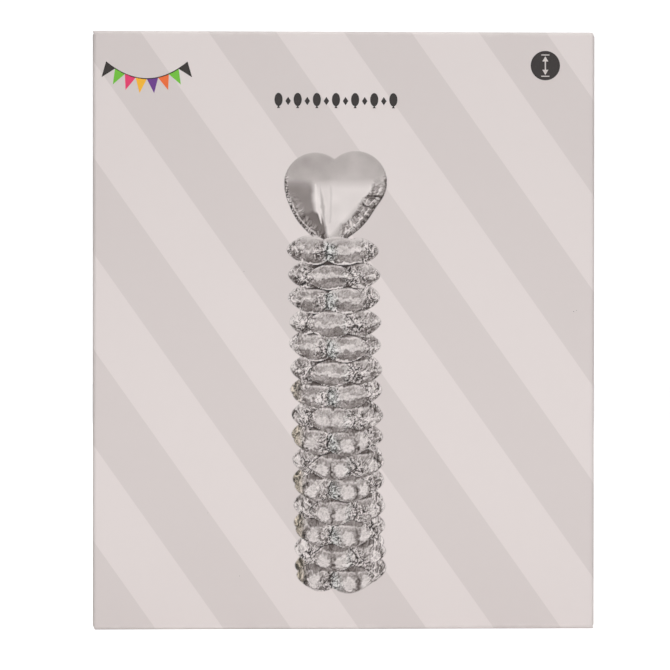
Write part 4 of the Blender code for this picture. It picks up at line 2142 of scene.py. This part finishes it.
@dataclass(frozen=True)
class Badge(FrontPrint):
    """A round dark spot with a plain upright arrow for the height.

    Attributes:
        radius: The spot's radius.
        middle: Its middle, across and up.
        arrow: Half the arrow's height.
        shaft: Half the width of its shaft.
        head: Half the width of its heads.
        taper: Half a head's height, as a share of half its width.
        bar: Half the width and height of the bar past each head.
        past: How far past the arrow's end its middle lies.
        raised: How far the arrow lies out from the spot, as a share of the film.
    """

    NAME = "badge"
    radius: float = 6.15 * MM
    middle: tuple = (84.2 * MM, 236.0 * MM)
    arrow: float = 3.9 * MM
    shaft: float = 0.26 * MM
    head: float = 1.25 * MM
    taper: float = 1.15
    bar: tuple = (1.7 * MM, 0.20 * MM)
    past: float = 0.55 * MM
    raised: float = 0.6

    def shapes(self, graph: Graph, given: Sockets) -> list:
        """Build the spot and the arrow.

        Args:
            graph: The tree's graph.
            given: What the tree is given, by name.

        Returns:
            The shapes, each with its material.
        """
        film = given["Film"]
        spot = prism(graph, film, 72, (self.radius, self.radius))
        raised = -self.raised * FILM
        corner = math.sqrt(2)
        shaft = (self.shaft * corner, (self.arrow - 1.0 * MM) * corner)
        parts = [prism(graph, film, 4, shaft, (0.0, raised, 0.0), math.pi / 4)]
        head = (self.head / TRIANGLE[0], self.head * self.taper)
        bar = (self.bar[0] * corner, self.bar[1] * corner)
        for way, turn in ((1.0, UPWARD), (-1.0, DOWNWARD)):
            tip = (0.0, raised, way * (self.arrow - self.head * self.taper))
            parts.append(prism(graph, film, 3, head, tip, turn))
            end = (0.0, raised, way * (self.arrow + self.past))
            parts.append(prism(graph, film, 4, bar, end, math.pi / 4))
        return [(spot, given["Spot ink"]), (join(graph, parts), given["Arrow ink"])]

    def values(self) -> dict:
        """Return the inks."""
        return {"Spot ink": self.finishes.dark, "Arrow ink": self.finishes.pale}


@dataclass(frozen=True)
class Specks(FrontPrint):
    """A few tiny specks of ink on the plain parts of the front.

    Attributes:
        places: Place across and up of each speck, and its radius, in millimetres.
        stretch: How tall a speck is for its width.
        middle: The place that theirs count from, in metres.
    """

    NAME = "specks"
    places: tuple = (
        (96.2, 133.0, 0.13),
        (97.4, 133.5, 0.10),
        (-41.9, 149.7, 0.10),
        (-43.6, 22.4, 0.09),
        (-56.9, 48.8, 0.08),
    )
    stretch: float = 1.3
    middle: tuple = (0.0, 0.0)

    def shapes(self, graph: Graph, given: Sockets) -> list:
        """Build the specks.

        Args:
            graph: The tree's graph.
            given: What the tree is given, by name.

        Returns:
            The shapes, each with its material.
        """
        specks = []
        for x, z, radius in self.places:
            size = (radius * MM, self.stretch * radius * MM)
            specks.append(prism(graph, given["Film"], 9, size, (x * MM, 0.0, z * MM), x))
        return [(join(graph, specks), given["Ink"])]

    def values(self) -> dict:
        """Return the ink."""
        return {"Ink": self.finishes.dark}


@dataclass(frozen=True)
class Lamp:
    """A soft rectangular lamp.

    Attributes:
        name: The lamp's name.
        place: Where it hangs, in metres.
        size: Its width and height.
        power: Its power, in watts.
        aim: Height on the carton that it faces.
    """

    name: str
    place: tuple
    size: tuple
    power: float
    aim: float = CARTON.height / 2

    def hang(self) -> None:
        """Hang the lamp, out of the camera's sight."""
        light = bpy.data.lights.new(self.name, "AREA")
        light.shape = "RECTANGLE"
        light.size, light.size_y = self.size
        light.energy = self.power
        lamp = bpy.data.objects.new(self.name, light)
        lamp.location = self.place
        way = Vector((0.0, -CARTON.depth / 2, self.aim)) - Vector(self.place)
        lamp.rotation_euler = way.to_track_quat("-Z", "Y").to_euler()
        lamp.visible_camera = False
        bpy.context.scene.collection.objects.link(lamp)


@dataclass(frozen=True)
class Studio:
    """The pale floor, the soft lamps, the white surroundings and the camera.

    Attributes:
        lamps: The lamps.
        floor: Grey of the floor.
        floor_glow: The floor's own light, unseen and as the camera sees it.
        aside: Surroundings' light in front and beside, with the reach of the change.
        overhead: What they add overhead, with the height where it starts.
        backdrop: Their light as the camera sees it.
        angles: The camera's azimuth, elevation and roll, in degrees.
        distance: Its distance from the middle of the front.
        lens: Its focal length, in millimetres.
        shift: How far its frame is shifted, across and up.
    """

    lamps: tuple = (
        Lamp("key light", (0.28, -1.80, 0.62), (1.1, 1.1), 8.8),
        Lamp("front fill", (0.12, -2.20, 0.30), (1.2, 1.2), 7.5),
        Lamp("low strip", (0.0, -0.26, 0.06), (0.7, 0.1), 0.19, 0.06),
        Lamp("top light", (0.0, -0.14, 0.90), (0.7, 0.2), 2.1, CARTON.height),
        Lamp("back light", (-0.25, 2.00, 0.70), (1.2, 1.2), 9.0),
        Lamp("left side light", (-0.85, 1.90, 0.45), (0.7, 0.9), 6.2),
        Lamp("right side light", (0.85, 1.90, 0.45), (0.7, 0.9), 7.0),
    )
    floor: float = 0.72
    floor_glow: tuple = (0.13, 0.72)
    aside: tuple = (0.10, 0.60, 0.56, 0.02)
    overhead: tuple = (0.3, 1.0, 0.0, 0.28)
    backdrop: float = 1.1
    angles: tuple = (-1.760, 0.402, 0.0416)
    distance: float = 1.2
    lens: float = 154.2
    shift: tuple = (-0.0137, -0.0066)

    def lay_floor(self) -> None:
        """Lay the floor."""
        bpy.ops.mesh.primitive_circle_add(vertices=96, radius=4.0, fill_type="NGON")
        floor = bpy.context.object
        floor.name = "floor"
        finish = Finish("pale floor")
        finish.shader.inputs["Base Color"].default_value = (self.floor,) * 3 + (1.0,)
        finish.shader.inputs["Roughness"].default_value = 0.9
        finish.shader.inputs["Emission Color"].default_value = WHITE
        seen = finish.graph.node("ShaderNodeLightPath").outputs["Is Camera Ray"]
        glow = finish.graph.span(seen, 0.0, 1.0, *self.floor_glow)
        finish.graph.feed(finish.shader.inputs["Emission Strength"], glow)
        floor.data.materials.append(finish.material)

    def set_surroundings(self) -> None:
        """Set the white surroundings."""
        world = bpy.data.worlds.new("white studio")
        world.use_nodes = True
        bpy.context.scene.world = world
        graph = Graph(world.node_tree)
        ambient = world.node_tree.nodes["Background"]
        ambient.inputs["Color"].default_value = WHITE
        way = graph.parts(graph.node("ShaderNodeTexCoord").outputs["Generated"])
        level = graph.span(graph.math("ABSOLUTE", way["X"]), *self.aside)
        overhead = graph.span(way["Z"], *self.overhead)
        graph.feed(ambient.inputs["Strength"], graph.plus(level, overhead))
        backdrop = graph.node("ShaderNodeBackground", Color=WHITE, Strength=self.backdrop)
        chosen = graph.node("ShaderNodeMixShader")
        seen = graph.node("ShaderNodeLightPath").outputs["Is Camera Ray"]
        for number, value in enumerate((seen, ambient, backdrop)):
            graph.feed(chosen.inputs[number], value)
        graph.feed(world.node_tree.nodes["World Output"].inputs[0], chosen)
        bpy.context.scene.view_settings.view_transform = "Standard"

    def set_camera(self) -> None:
        """Set the camera at the photograph's distance and angle."""
        azimuth, elevation, roll = (math.radians(angle) for angle in self.angles)
        level = math.cos(elevation)
        back = Vector(
            (math.sin(azimuth) * level, -math.cos(azimuth) * level, math.sin(elevation))
        )
        lens = bpy.data.cameras.new("camera")
        lens.sensor_width = 36.0
        lens.lens = self.lens
        lens.shift_x, lens.shift_y = self.shift
        lens.clip_end = 20.0
        view = bpy.data.objects.new("camera", lens)
        middle = Vector((0.0, -CARTON.depth / 2, CARTON.height / 2))
        view.location = middle + self.distance * back
        view.rotation_mode = "QUATERNION"
        upright = back.to_track_quat("Z", "Y")
        view.rotation_quaternion = upright @ Quaternion((0.0, 0.0, 1.0), roll)
        bpy.context.scene.collection.objects.link(view)
        bpy.context.scene.camera = view

    def make(self) -> None:
        """Set everything up."""
        self.set_camera()
        self.lay_floor()
        for lamp in self.lamps:
            lamp.hang()
        self.set_surroundings()


def main() -> None:
    """Build the dressed carton and its studio."""
    logging.basicConfig(level=logging.INFO, format="%(name)s %(message)s")
    Studio().make()
    finishes = Finishes()
    sleeve, joined = Sleeve(finishes).make()
    for end in End:
        Closure(end, finishes).make(sleeve, joined)
    for part in (PicturePiece, BalloonRow, Bunting, Badge, Specks):
        part(finishes).make()


if __name__ == "__main__":
    main()
